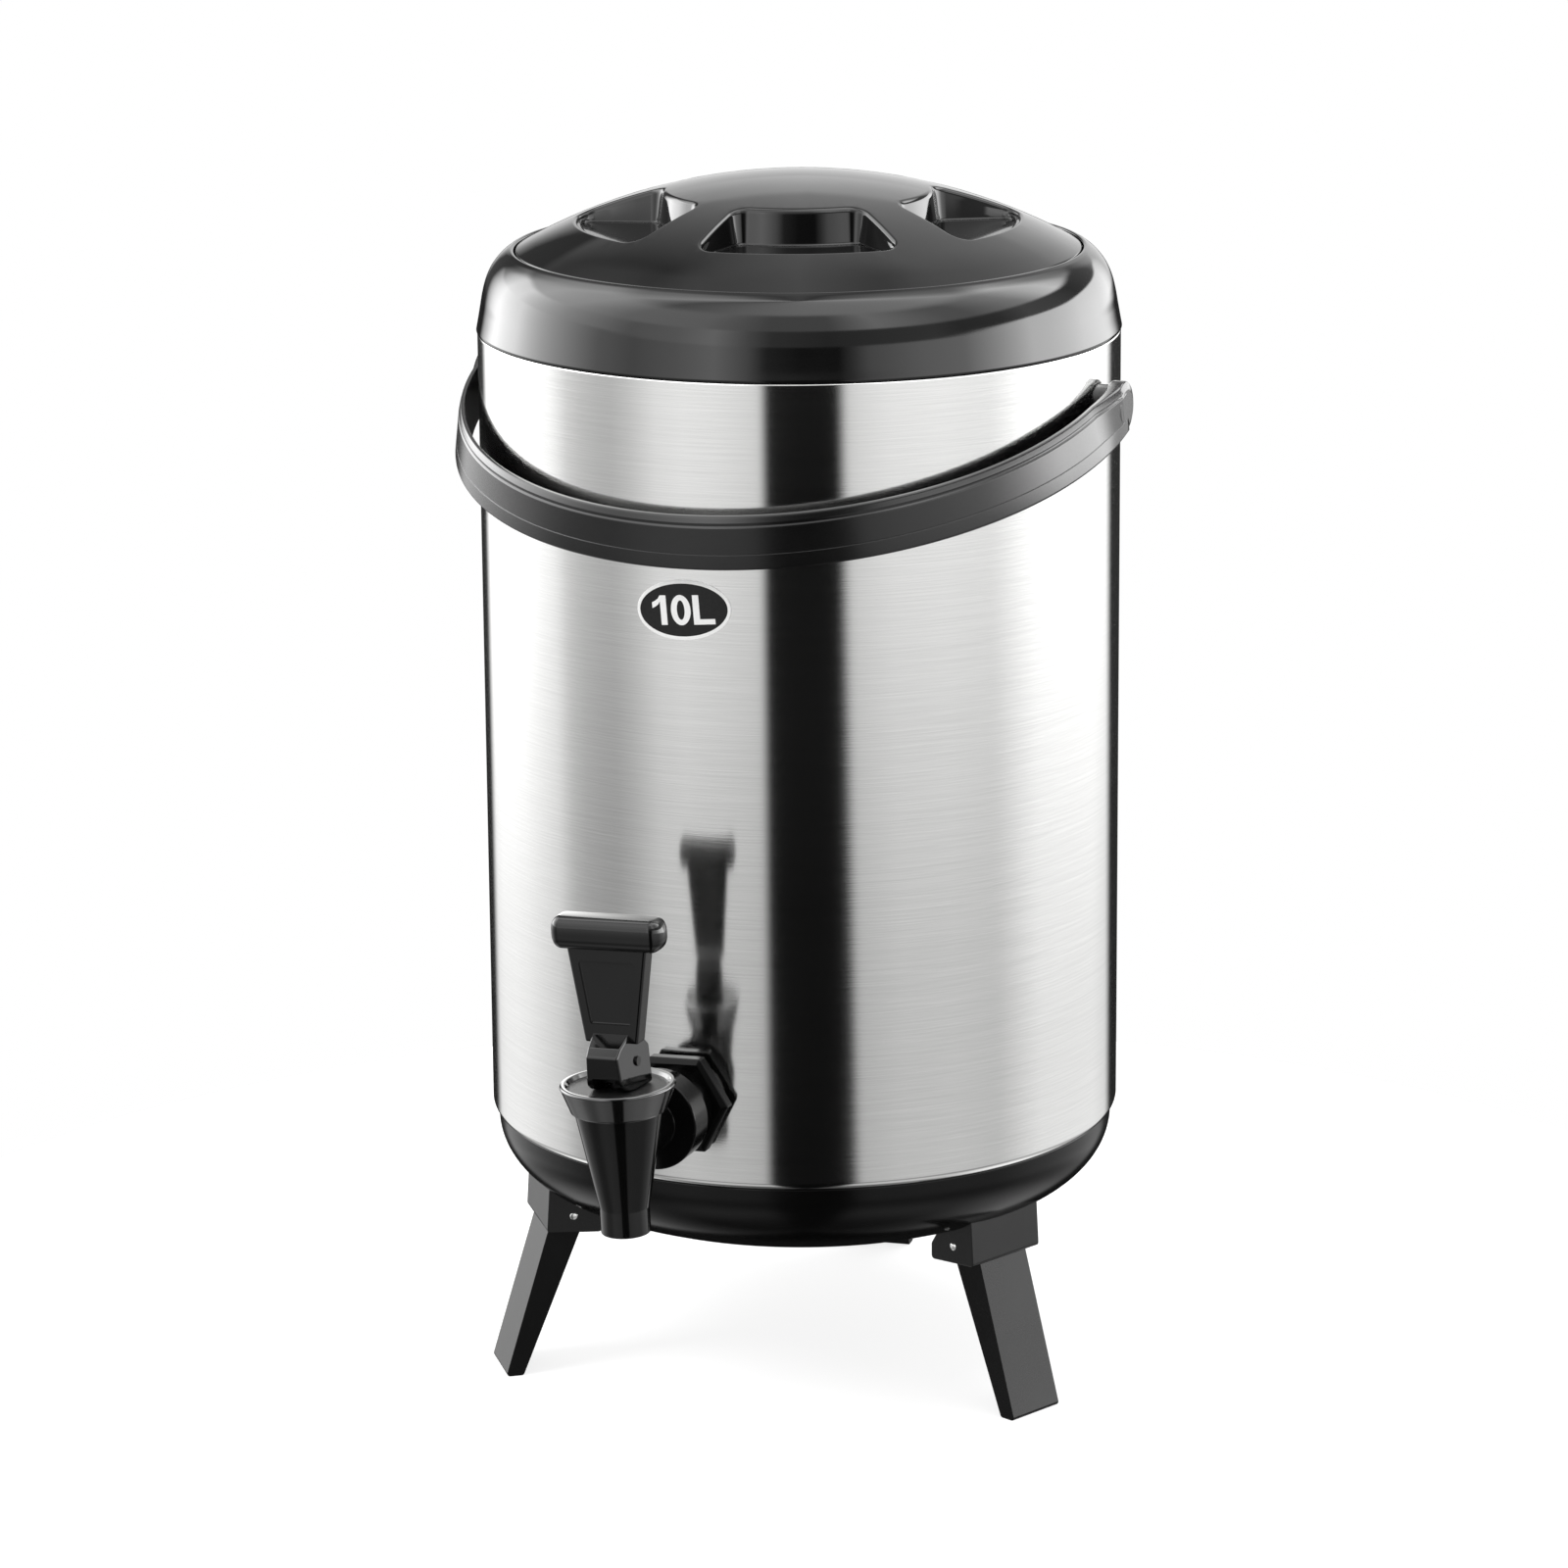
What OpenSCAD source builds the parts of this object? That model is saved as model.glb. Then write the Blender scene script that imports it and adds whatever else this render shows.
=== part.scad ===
// Insulated beverage dispenser: a double-walled steel drum on three folding legs,
// with a push-in screw lid, a carrying bail and a spring-closed lever tap.
// Millimetres, +Z up. The floor is z = 0, the drum's axis is Z and the tap faces -Y.

/* [Drum] */
// Outer radius of the steel shell
body_r = 130; // [115:1:150]
// Height of steel that shows between the base and the collar
shell_h = 325; // [260:5:400]
// Sheet thickness of the outer shell
shell_wall = 1; // [0.6:0.1:1.6]
// How far the shell's lower edge curls in
curl_in = 2.9; // [1:0.1:4]
// Height over which the lower edge curls in
curl_h = 10; // [6:1:16]
// Thickness of the foam between shell and tank
foam_t = 19; // [10:1:26]
// Sheet thickness of the tank
tank_wall = 1; // [0.6:0.1:1.6]
// Height of the tank's floor above the shell's lower edge
tank_rise = 12; // [8:0.5:13]
// Radius of the round corner at the tank's floor
tank_corner_r = 6; // [3:0.5:7]
// Thickness of the steel plate that closes the shell below
plate_t = 1; // [0.6:0.1:2]

/* [Collar] */
// Height of the collar's sloping skirt below its round shoulder
skirt_h = 12; // [6:0.5:16]
// How far the skirt leans in over its height
skirt_lean = 2.4; // [0.5:0.1:4]
// Thickness of the skirt where it meets the shoulder
skirt_t = 2.2; // [1.5:0.1:3.5]
// How far the skirt stands proud of the steel
skirt_proud = 0.4; // [0:0.1:1]
// Radial reach of the round shoulder, most of which shows
shoulder_reach = 18; // [15:0.5:24]
// Height of the full shoulder above the skirt
shoulder_h = 22; // [18:0.5:28]
// Distance of the lid seam from the drum's outer radius
seam_inset = 15.5; // [13:0.5:16]
// Height of the recess floor above the skirt
recess_rise = 13; // [11:0.5:16]
// Thickness of the web between the recess floor and the tank's rim
web_t = 8.5; // [7.5:0.5:10]
// How far the collar's neck stands in from the tank's wall
neck_in = 6; // [4:0.5:10]
// Wall thickness of the neck
neck_t = 3; // [2:0.5:4]
// Length of the neck below the recess
neck_h = 16.5; // [12:0.5:24]

/* [Lid] */
// Rise of the dome from the seam to its top
dome_h = 29.7; // [20:0.1:40]
// Wall thickness of the lid's mouldings
lid_wall = 2.6; // [1.6:0.1:3.4]
// Height of the dome's edge above the recess floor
lid_edge_h = 7.3; // [5:0.1:9]
// Length of the plug below the flange
plug_h = 26; // [16:1:40]
// Height of the wall with which the pan fits into the plug
pan_rim_h = 10; // [4:1:14]
// Thickness of the foam disc in the lid
lid_foam_t = 20; // [8:1:30]
// Number of finger pockets
pockets = 5; // [3:1:6]
// Radius of a pocket's inner wall
pocket_in_r = 54.5; // [45:0.5:60]
// Radius of a pocket's outer wall
pocket_out_r = 89; // [80:0.5:92]
// Half of the angle that a pocket spans
pocket_half_a = 26.3; // [16:0.1:28]
// Radius of a pocket's upright corners
pocket_corner_r = 5; // [2:0.5:8]
// Height of the pocket floors above the seam
pocket_floor_h = 9.2; // [6:0.1:10]
// Turn of the pockets from the tap, with the lid tight
pocket_turn = 21.5; // [-36:0.5:36]
// Thickness of the sealing ring
gasket_t = 2.2; // [1:0.1:3]
// Radial width of the sealing ring
gasket_w = 8; // [4:0.5:9]

/* [Bail] */
// Gap between the drum and the bail's band
bail_gap = 3; // [2.4:0.1:8]
// Straight length of its arms before the round
bail_arm = 5; // [0:0.5:20]
// Thickness of the band
bail_t = 7; // [5:0.5:8]
// Width of the band
bail_w = 21; // [16:0.5:26]
// Chamfer along the band's edges
bail_edge = 1.2; // [0.4:0.1:2]
// Radius of the lugs at its ends
lug_r = 12; // [10:0.5:15]
// Pivot's distance below the visible steel's upper edge
pivot_drop = 25; // [20:0.5:60]
// Angle at which the bail hangs below level, resting on the drum
bail_droop = 15; // [2:0.5:15]
// Radius of the pivot pin
pivot_r = 4; // [3:0.25:5]
// Radius of the pivot's seat on the drum
boss_r = 9; // [7:0.5:12]
// Radius of the sunk recess round the pivot screw
lug_recess_r = 7; // [6:0.25:9]
// Depth of that recess
lug_recess_h = 2.8; // [1.5:0.1:3.5]
// Radius of the pivot screw's head
pivot_head_r = 6.2; // [4:0.1:6.5]
// Thickness of the pivot screw's head
pivot_head_h = 2; // [1:0.1:2.4]
// Radius of the pivot screw's shank
pivot_screw_r = 1.6; // [1:0.1:2]
// Depth of the pivot screw behind the steel's face
pivot_screw_h = 7; // [3:0.5:12]

/* [Badge] */
// Half width of the capacity badge
badge_half_w = 19.6; // [12:0.1:26]
// Half height of the badge
badge_half_h = 12.6; // [9:0.1:16]
// Thickness of the badge
badge_t = 0.5; // [0.3:0.1:1]
// Distance of its centre below the visible steel's upper edge
badge_drop = 90; // [85:1:140]
// Turn of the badge from the tap
badge_turn = 1; // [-10:0.5:10]

/* [Base] */
// Height of the base from its rim to the steel
base_h = 34.5; // [26:0.5:44]
// Upright part of the base under the steel
base_band_h = 4; // [2:0.5:8]
// Radial reach of the base's round underside
bowl_w = 39.8; // [34:0.2:46]
// Radial width of the flat rim
rim_w = 7; // [5:0.5:10]
// Wall thickness of the base
base_wall = 3; // [2:0.25:4]
// Height of the recess into which the legs fold
fold_h = 11; // [9:0.5:14]
// How far the base's upper edge stands proud of the steel's lower edge
base_proud = 0.5; // [0:0.1:1]
// Distance of the base screws from the axis
base_screw_at = 70; // [60:1:80]
// Radius of the posts round the base screws
post_r = 5; // [4:0.25:7]
// Radius of the base screws' shanks
base_screw_r = 2; // [1.5:0.1:2.5]
// Radius of the base screws' heads
base_head_r = 4; // [3:0.1:5]
// Thickness of the base screws' heads
base_head_h = 2.2; // [1:0.1:3]

/* [Legs] */
// Height of the leg pins above the floor
leg_h = 69.6; // [50:0.2:80]
// Distance of the pins below the base's rim
pin_drop = 3.4; // [2:0.1:6]
// Distance of the pins from the drum's outer radius
pin_inset = 25.8; // [22:0.2:30]
// Turn of the legs from the tap
leg_turn = 6.5; // [-15:0.5:15]
// Width of a leg
leg_w = 27.3; // [20:0.1:34]
// Radius of a leg's round head
leg_head_r = 7; // [5:0.25:8]
// Outward reach of the foot from the pin
foot_reach = 28.5; // [10:0.5:40]
// Thickness of the leg at the floor
foot_t = 7.5; // [5:0.1:12]
// Radius of the leg pins
leg_pin_r = 2.2; // [1.5:0.1:3]
// Wall thickness of a bracket's outer face
bracket_wall = 3.3; // [2:0.1:5]
// Thickness of a bracket's cheeks
cheek_t = 5.6; // [4.5:0.1:8]
// Reach of the cheeks inwards from the pin
cheek_reach = 12.2; // [9:0.1:16]
// Height of a cheek's inner end
cheek_end_h = 6.8; // [4:0.1:9]
// Distance of the bracket's outer lower edge below the pin
bracket_drop = 6.3; // [4:0.1:8]
// Distance of the cheeks' inner lower corner below the pin
cheek_drop = 7.9; // [5:0.1:10]
// Outward distance of the bracket screws from the pin
bracket_screw_out = 5; // [3:0.5:7]
// Radius of the bracket screws' shanks
bracket_screw_r = 1.5; // [1:0.1:1.8]
// Radius of the bracket screws' heads
bracket_head_r = 3; // [2:0.1:4]
// Thickness of the bracket screws' heads
bracket_head_h = 2; // [1:0.1:3]
// Wall of the posts round the bracket screws' heads
screw_post_wall = 1; // [0.5:0.1:2]
// Height of these posts above the pockets for the legs
screw_post_h = 8; // [5:0.5:10]
// Depth of the bracket screws in the cheeks
bracket_grip = 9; // [5:0.5:11]

/* [Tap body] */
// Distance of the spout's axis from the steel
spout_gap = 63; // [56:0.5:90]
// Height of the tap's shank above the steel's lower edge
tap_rise = 36; // [35:0.5:80]
// Lean of the tap to its left, as it was tightened
tap_lean = 2.5; // [-5:0.5:5]
// Radius of the shank
shank_r = 10; // [8:0.5:12]
// Radius of the bore through the shank
shank_bore_r = 6; // [4:0.25:7]
// Radius of the round flange on the shank
flange_r = 19; // [16.5:0.5:23]
// Distance of the flange's front face from the spout's axis
flange_at = 29.5; // [27:0.5:34]
// Thickness of the flange
flange_t = 13; // [6:0.5:16]
// Radius of the barrel between the flange and the nut
barrel_r = 15.5; // [12.5:0.5:16]
// Radius of the spout where its cone starts
cone_top_r = 17.5; // [17.2:0.1:18.5]
// Height of the cone's start above the shank's axis
cone_top = 14.4; // [13:0.1:18]
// Depth of the cone's end below the shank's axis
cone_end = 24.7; // [18:0.1:30]
// Outer radius of the nozzle
nozzle_r = 9.75; // [9:0.05:12]
// Length of the nozzle
nozzle_h = 10.5; // [6:0.5:24]
// Radius of the outlet through the nozzle
outlet_r = 7; // [5:0.25:7.5]
// Radius of the valve chamber
chamber_r = 11; // [10.8:0.1:11.4]
// Depth of the valve seat below the shank's axis
seat_drop = 8; // [7:0.5:12]
// Radius of the neck that carries the bonnet
tap_neck_r = 16.8; // [15:0.1:17.2]
// Height of that neck
tap_neck_h = 6; // [5:0.1:10]

/* [Tap fixing] */
// Corner radius of the six-sided nut
nut_r = 22; // [20:0.5:28]
// Thickness of the nut
nut_t = 6; // [4:0.5:12]
// Height of the slope on the nut's corners
nut_slope = 1.5; // [0.5:0.5:3]
// Radius of the outer washer
washer_r = 17; // [14:0.5:17]
// Thickness of the outer washer
washer_t = 2.5; // [1.5:0.1:4]
// Radius of the inner washer
inner_washer_r = 16; // [13:0.5:17]
// Thickness of the inner washer
inner_washer_t = 3.5; // [2:0.1:5]
// Corner radius of the inner nut
inner_nut_r = 15; // [13:0.5:17]
// Thickness of the inner nut
inner_nut_t = 8; // [5:0.5:12]
// Length of shank beyond the inner nut
shank_end = 2; // [0.5:0.5:8]

/* [Tap bonnet and valve] */
// Radius of the bonnet's rim
bonnet_r = 22.6; // [21:0.1:26]
// Radius of the bonnet's lower edge
bonnet_low_r = 18.8; // [18.6:0.1:21]
// Width of the bonnet's rim
bonnet_lip = 2.6; // [1.5:0.1:4]
// Depth of the dish inside the rim
dish_h = 2; // [1:0.1:3]
// Thickness of the bonnet under the dish
bonnet_top_t = 3.2; // [2:0.1:4]
// Radius of the stem
stem_r = 3.2; // [2:0.1:4]
// Radius of the spring's seat on the stem
stem_flange_r = 7; // [6:0.1:9]
// Thickness of that seat
stem_flange_t = 2; // [1:0.1:3]
// Radius of the sealing cup
cup_r = 9.4; // [8.5:0.1:10.2]
// Height of the sealing cup
cup_h = 11; // [8:0.1:12]
// Depth of the stem inside the cup
cup_grip = 6; // [3:0.1:8]
// Middle radius of the spring
spring_r = 6; // [5:0.1:7]
// Radius of the spring's wire
spring_wire_r = 0.6; // [0.4:0.05:0.8]
// Turns of the spring
spring_turns = 6; // [4:1:8]

/* [Tap lever] */
// Height of the lever's pin above the dish
lever_pin_h = 11; // [9.5:0.1:16]
// Radius of the lever's pin
lever_pin_r = 2; // [1.5:0.1:2.5]
// Lift of the stem for each radian of tilt
cam_rise = 4; // [2:0.25:5]
// Furthest tilt of the lever
lever_tilt = 45; // [20:1:50]
// Width of the lever's foot
foot_w = 18.9; // [16:0.1:24]
// Reach of the foot behind its pin
foot_back = 9.5; // [8:0.1:13]
// Width of the stem's tongue in the foot's slot
tongue_w = 8.8; // [6:0.1:11]
// Depth of the tongue from front to back
tongue_d = 8; // [6:0.1:9]
// Height of the tongue above the pin
tongue_top = 5; // [4:0.1:7]
// Height of the tongue's lower end above the dish
tongue_rise = 2.8; // [1:0.1:4]
// Height of the foot's shoulders above the pin
foot_top = 7.5; // [6.5:0.1:10]
// Size of the slopes on those shoulders
foot_slope = 3; // [1:0.1:5]
// Height of the slope from the shoulders to the paddle
paddle_root = 4; // [2:0.1:8]
// Width of the paddle at its foot
paddle_low_w = 22; // [17:0.5:28]
// Width of the paddle under the grip
paddle_high_w = 34; // [20:0.5:40]
// Thickness of the paddle
paddle_t = 8; // [5:0.5:10]
// Height of the grip's axis above the pin
grip_h = 50.8; // [40:0.1:70]
// Radius of the round grip
grip_r = 6.8; // [5:0.1:9]
// Length of the grip
grip_w = 47; // [40:0.5:64]
// Width of the border round the paddle's sunk panels
panel_border = 3.6; // [2:0.1:6]
// Depth of the sunk panels
panel_h = 1.2; // [0.4:0.1:2]

/* [Clearances] */
// Gap between pieces that move past each other
run_gap = 0.3; // [0.2:0.05:0.6]
// Radial gap of a turning or sliding pin in its bore
pin_gap = 0.05; // [0.01:0.01:0.1]
// Radial gap of a screw or shank in a drilled hole
hole_gap = 0.4; // [0.1:0.1:1]
// Side gap of a leg or tongue in its fork
fork_gap = 0.4; // [0.2:0.1:0.8]
// Gap of one moulding fitted into another
fit_gap = 0.15; // [0.05:0.05:0.3]

/* [Hidden] */
$fn = 96;
// Sides of the rounds against which small pieces are cut
fine = 480;
far = 1000;
black_plastic = [0.06, 0.06, 0.065];
steel = [0.78, 0.78, 0.79];
foam_yellow = [0.9, 0.85, 0.6];
silicone = [0.88, 0.88, 0.86];

// Heights, from the floor up
pin_z = leg_h;
rim_z = pin_z + pin_drop;
shell_z = rim_z + base_h;
plate_top = shell_z + plate_t;
tank_floor_z = shell_z + tank_rise;
collar_z = shell_z + shell_h;
shoulder_z = collar_z + skirt_h;
recess_z = shoulder_z + recess_rise;
tank_top = recess_z - web_t - tank_wall;
pivot_z = collar_z - pivot_drop;
tap_z = shell_z + tap_rise;

// Radii of the drum
shell_in = body_r - shell_wall;
shell_low_r = body_r - curl_in;
tank_r = shell_in - foam_t - tank_wall;
tank_out = tank_r + tank_wall;
skirt_r = body_r + skirt_proud;
shoulder_r = skirt_r - skirt_lean;
shell_neck_r = shoulder_r - skirt_t - fit_gap;
seam_r = body_r - seam_inset;
mouth_r = tank_r - neck_in;

// Lid
lid_r = seam_r - run_gap;
seam_z = recess_z + lid_edge_h;
flange_z = recess_z + gasket_t;
plug_r = mouth_r - 2 * run_gap;
plug_z = flange_z - plug_h;
dome_r = (lid_r * lid_r + dome_h * dome_h) / (2 * dome_h);
dome_centre_z = seam_z + dome_h - dome_r;
pocket_floor_z = seam_z + pocket_floor_h;
pan_r = plug_r - lid_wall - fit_gap;

// Bail: the pivot's faces lie along X
bail_in_r = body_r + bail_gap;
bail_r = bail_in_r + bail_t;
pivot_face = bail_in_r - run_gap;
recess_face = bail_r - lug_recess_h;
pivot_end = recess_face + run_gap;

// Base
base_r = shell_low_r + base_proud;
bowl_centre_r = base_r - bowl_w;
bowl_h = base_h - base_band_h;
bowl_z = rim_z + bowl_h;
rim_in_r = bowl_centre_r + rim_w;
fold_z = rim_z + fold_h;
floor_top = fold_z + base_wall;

// Legs, in the upright plane of each leg: [distance from the axis, height].
// The sides enter the round head by a little instead of only touching it.
side_inset = 0.05;
pin_at = [body_r - pin_inset, pin_z];
foot_outer = [pin_at[0] + foot_reach, 0];
foot_inner = [foot_outer[0] - foot_t, 0];
leg_outer = tangent_point(pin_at, leg_head_r - side_inset, foot_outer, 1);
leg_inner = tangent_point(pin_at, leg_head_r - side_inset, foot_inner, -1);
bracket_low = pin_z - bracket_drop;
leg_face_at_stop = leg_outer[0]
    + (leg_outer[1] - bracket_low) * (foot_outer[0] - leg_outer[0]) / leg_outer[1];
bracket_in_r = leg_face_at_stop + run_gap;
bracket_r = bracket_in_r + bracket_wall;
fork_half = leg_w / 2 + fork_gap;
bracket_half = fork_half + cheek_t;
cheek_mid = fork_half + cheek_t / 2;
head_room = leg_head_r + run_gap + fork_gap;
bracket_screw_at = pin_at[0] + bracket_screw_out;
bracket_seat_z = pin_z + head_room + base_wall + screw_post_h;
leg_angles = [-60, 60, 180];

// Tap, along the shank from the spout's axis towards the drum
spout_reach = body_r + spout_gap;
nut_back = spout_gap - washer_t;
nut_front = nut_back - nut_t;
tank_face = spout_reach - tank_r;
inner_nut_face = tank_face + inner_washer_t;
shank_tip = inner_nut_face + inner_nut_t + shank_end;
shank_hole_r = shank_r + hole_gap;

// Tap, upwards from the shank's axis
neck_top = cone_top + tap_neck_h;
nozzle_end = -cone_end - nozzle_h;
bonnet_under = neck_top;
dish_z = bonnet_under + bonnet_top_t;
bonnet_top = dish_z + dish_h;
bonnet_low = cone_top + fit_gap;
cup_low = -seat_drop + run_gap;
cup_top = cup_low + cup_h;
spring_low = cup_top + stem_flange_t;
lever_z = dish_z + lever_pin_h;
cam_r = lever_pin_h - run_gap;
slot_half = tongue_w / 2 + fork_gap;
tongue_clear = sqrt(pow(tongue_top, 2) + pow(tongue_d / 2, 2)) + fork_gap;
cam_steps = 8;

// Wire of the spring
wire_sides = 6;
rings_per_turn = 12;
spring_rings = spring_turns * rings_per_turn;

// Point where a line from p touches the circle of radius r round c
function tangent_point(c, r, p, side) =
    let (d = p - c, turn = atan2(d[1], d[0]) + side * acos(r / norm(d)))
    c + r * [cos(turn), sin(turn)];

// Points of an elliptic arc round c
function arc(c, rx, ry, from, to, steps) =
    [for (i = [0:steps]) let (a = from + (to - from) * i / steps) c + [rx * cos(a), ry * sin(a)]];

function reversed(list) = [for (i = [len(list) - 1:-1:0]) list[i]];

// Point of the cam, forwards and down from the lever's pin, that bears on the dish at this tilt
function cam_point(tilt) =
    let (reach = cam_r + cam_rise * tilt * PI / 180)
    [reach * sin(tilt) + cam_rise * cos(tilt), cam_rise * sin(tilt) - reach * cos(tilt)];

// Steel's lower edge: a quarter of an ellipse from the curl to the upright wall
function curl(inset) = arc([shell_low_r - inset, shell_z + curl_h], curl_in, curl_h, -90, 0, 6);

// A flat ring between two radii
module ring(r_in, r_out, z0, z1) {
    rotate_extrude() translate([r_in, z0]) square([r_out - r_in, z1 - z0]);
}

// A rod along +Y from one distance to another
module rod_y(r, y0, y1) {
    translate([0, y0, 0]) rotate([-90, 0, 0]) cylinder(r = r, h = y1 - y0);
}

// A rod along +X from one distance to another
module rod_x(r, x0, x1) {
    translate([x0, 0, 0]) rotate([0, 90, 0]) cylinder(r = r, h = x1 - x0);
}

// A profile of [distance, height] points, as thick as width and facing the tap's side
module upright(width) {
    rotate([90, 0, -90]) linear_extrude(width, center = true) children();
}

// The tap's own frame: origin where shank and spout cross, +Y towards the drum
module tap_frame() {
    translate([0, -spout_reach, tap_z]) rotate([0, -tap_lean, 0]) children();
}

// The hole that the shank passes through, in the drum's walls
module shank_hole() {
    tap_frame() rod_y(shank_hole_r, nut_front, shank_tip);
}

// The holes of both pivot screws
module pivot_holes() {
    for (side = [0, 180])
        translate([0, 0, pivot_z]) rotate([0, 0, side])
            rod_x(pivot_screw_r + hole_gap, body_r - pivot_screw_h - 1, body_r + 1);
}

// Drum

// The shell's inner face, from its upper bend to the tank's rim
function foam_edge() = [[shell_in, collar_z - shell_wall], [shell_neck_r - shell_wall, collar_z - shell_wall],
    [shell_neck_r - shell_wall, tank_top]];

module outer_shell() {
    outer = concat(curl(0), [[body_r, collar_z], [shell_neck_r, collar_z], [shell_neck_r, tank_top]]);
    inner = concat(curl(shell_wall), foam_edge());
    color(steel) difference() {
        rotate_extrude() polygon(concat(outer, reversed(inner)));
        shank_hole();
        pivot_holes();
    }
}

module shell_bottom() {
    color(steel) difference() {
        translate([0, 0, shell_z]) cylinder(r = shell_low_r - shell_wall, h = plate_t);
        base_screw_places() cylinder(r = base_screw_r + hole_gap, h = far);
    }
}

module inner_tank() {
    low = tank_floor_z + tank_corner_r;
    middle = tank_r - tank_corner_r;
    outer = arc([middle, low], tank_corner_r + tank_wall, tank_corner_r + tank_wall, -90, 0, 6);
    inner = arc([middle, low], tank_corner_r, tank_corner_r, -90, 0, 6);
    rim = [[tank_out, tank_top], [shell_neck_r, tank_top], [shell_neck_r, tank_top + tank_wall],
        [tank_r, tank_top + tank_wall]];
    color(steel) difference() {
        rotate_extrude() polygon(concat([[0, tank_floor_z - tank_wall]], outer, rim,
            reversed(inner), [[0, tank_floor_z]]));
        shank_hole();
    }
}

module insulation_foam() {
    middle = tank_r - tank_corner_r;
    hollow = arc([middle, tank_floor_z + tank_corner_r], tank_corner_r + tank_wall,
        tank_corner_r + tank_wall, -90, 0, 6);
    wall = [for (p = curl(shell_wall)) if (p[1] > plate_top) p];
    color(foam_yellow) difference() {
        rotate_extrude() polygon(concat([[0, plate_top], [shell_low_r - shell_wall, plate_top]], wall,
            foam_edge(), [[tank_out, tank_top]], reversed(hollow), [[0, tank_floor_z - tank_wall]]));
        shank_hole();
        pivot_holes();
    }
}

module top_collar() {
    under = tank_top + tank_wall;
    centre_r = shoulder_r - shoulder_reach;
    last_a = acos((seam_r - centre_r) / shoulder_reach);
    shoulder = arc([centre_r, shoulder_z], shoulder_reach, shoulder_h, 0, last_a, 14);
    color(black_plastic) rotate_extrude() polygon(concat(
        [[shell_neck_r + fit_gap, collar_z], [skirt_r, collar_z]], shoulder,
        [[seam_r, recess_z], [mouth_r, recess_z], [mouth_r, recess_z - neck_h],
         [mouth_r + neck_t, recess_z - neck_h], [mouth_r + neck_t, under],
         [shell_neck_r + fit_gap, under]]));
}

// Base and legs

// The solid inside the base's outer face
module bowl_solid() {
    rotate_extrude() polygon(concat([[0, rim_z], [rim_in_r, rim_z]],
        [for (p = arc([bowl_centre_r, bowl_z], bowl_w, bowl_h, -80, 0, 12)) if (p[0] > rim_in_r) p],
        [[base_r, shell_z], [0, shell_z]]));
}

// The hollow inside the base, above its floor
module bowl_hollow() {
    inner_w = bowl_w - base_wall;
    inner_h = bowl_h - base_wall;
    rim_wall_r = rim_in_r + base_wall;
    rise = [for (p = arc([bowl_centre_r, bowl_z], inner_w, inner_h, -80, 0, 12)) if (p[0] > rim_wall_r) p];
    rotate_extrude() polygon(concat([[0, floor_top], [rim_wall_r, floor_top]],
        rise, [[base_r - base_wall, shell_z + 1], [0, shell_z + 1]]));
}

// One copy of the children at each leg
module at_legs() {
    for (a = leg_angles) rotate([0, 0, leg_turn + a]) children();
}

module base_screw_places() {
    for (a = leg_angles) rotate([0, 0, leg_turn + a + 60]) translate([0, -base_screw_at, 0]) children();
}

// The two screws of each bracket
module bracket_screw_places() {
    for (side = [-1, 1]) translate([side * cheek_mid, -bracket_screw_at, 0]) children();
}

// The room that a leg's head turns in, grown by a wall
module head_pocket(grow) {
    upright(2 * (fork_half + grow)) square([pin_at[0] + head_room + grow, pin_z + head_room + grow]);
}

module base_shell() {
    color(black_plastic) difference() {
        union() {
            difference() {
                bowl_solid();
                bowl_hollow();
            }
            intersection() {
                bowl_solid();
                at_legs() head_pocket(base_wall);
            }
            intersection() {
                bowl_solid();
                at_legs() bracket_screw_places() translate([0, 0, rim_z])
                    cylinder(r = bracket_head_r + screw_post_wall, h = bracket_seat_z - rim_z);
            }
            base_screw_places() translate([0, 0, fold_z]) cylinder(r = post_r, h = shell_z - fold_z);
        }
        cylinder(r = rim_in_r, h = fold_z);
        at_legs() head_pocket(0);
        at_legs() bracket_screw_places() cylinder(r = bracket_screw_r + hole_gap / 2, h = bracket_seat_z + 1);
        base_screw_places() cylinder(r = base_screw_r + hole_gap / 2, h = shell_z + 1);
    }
}

module base_screws() {
    color(steel) base_screw_places() {
        translate([0, 0, fold_z - base_head_h]) cylinder(r = base_head_r, h = base_head_h);
        translate([0, 0, fold_z]) cylinder(r = base_screw_r, h = plate_top - fold_z);
    }
}

module bracket_screws() {
    color(steel) at_legs() bracket_screw_places() {
        translate([0, 0, bracket_seat_z]) cylinder(r = bracket_head_r, h = bracket_head_h);
        translate([0, 0, rim_z - bracket_grip])
            cylinder(r = bracket_screw_r, h = bracket_seat_z - rim_z + bracket_grip);
    }
}

// A fork under the base: two cheeks that hold the pin, and an outer wall that stops the leg
module leg_bracket(angle) {
    inner_r = pin_at[0] - cheek_reach;
    inner_low = pin_z - cheek_drop;
    cheek = [[inner_r, inner_low], [bracket_r, bracket_low], [bracket_r, shell_z], [rim_in_r, shell_z],
        [rim_in_r, rim_z], [inner_r, inner_low + cheek_end_h]];
    color(black_plastic) rotate([0, 0, leg_turn + angle]) difference() {
        upright(2 * bracket_half) polygon(cheek);
        upright(2 * fork_half) square([bracket_in_r, shell_z]);
        bowl_solid();
        upright(3 * bracket_half) translate(pin_at) circle(r = leg_pin_r);
        bracket_screw_places() translate([0, 0, rim_z - bracket_grip])
            cylinder(r = bracket_screw_r + pin_gap, h = far);
    }
}

module leg_bracket_left() { leg_bracket(leg_angles[0]); }
module leg_bracket_right() { leg_bracket(leg_angles[1]); }
module leg_bracket_rear() { leg_bracket(leg_angles[2]); }

module leg_pin(angle) {
    color(steel) rotate([0, 0, leg_turn + angle]) upright(2 * bracket_half)
        translate(pin_at) circle(r = leg_pin_r);
}

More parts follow.
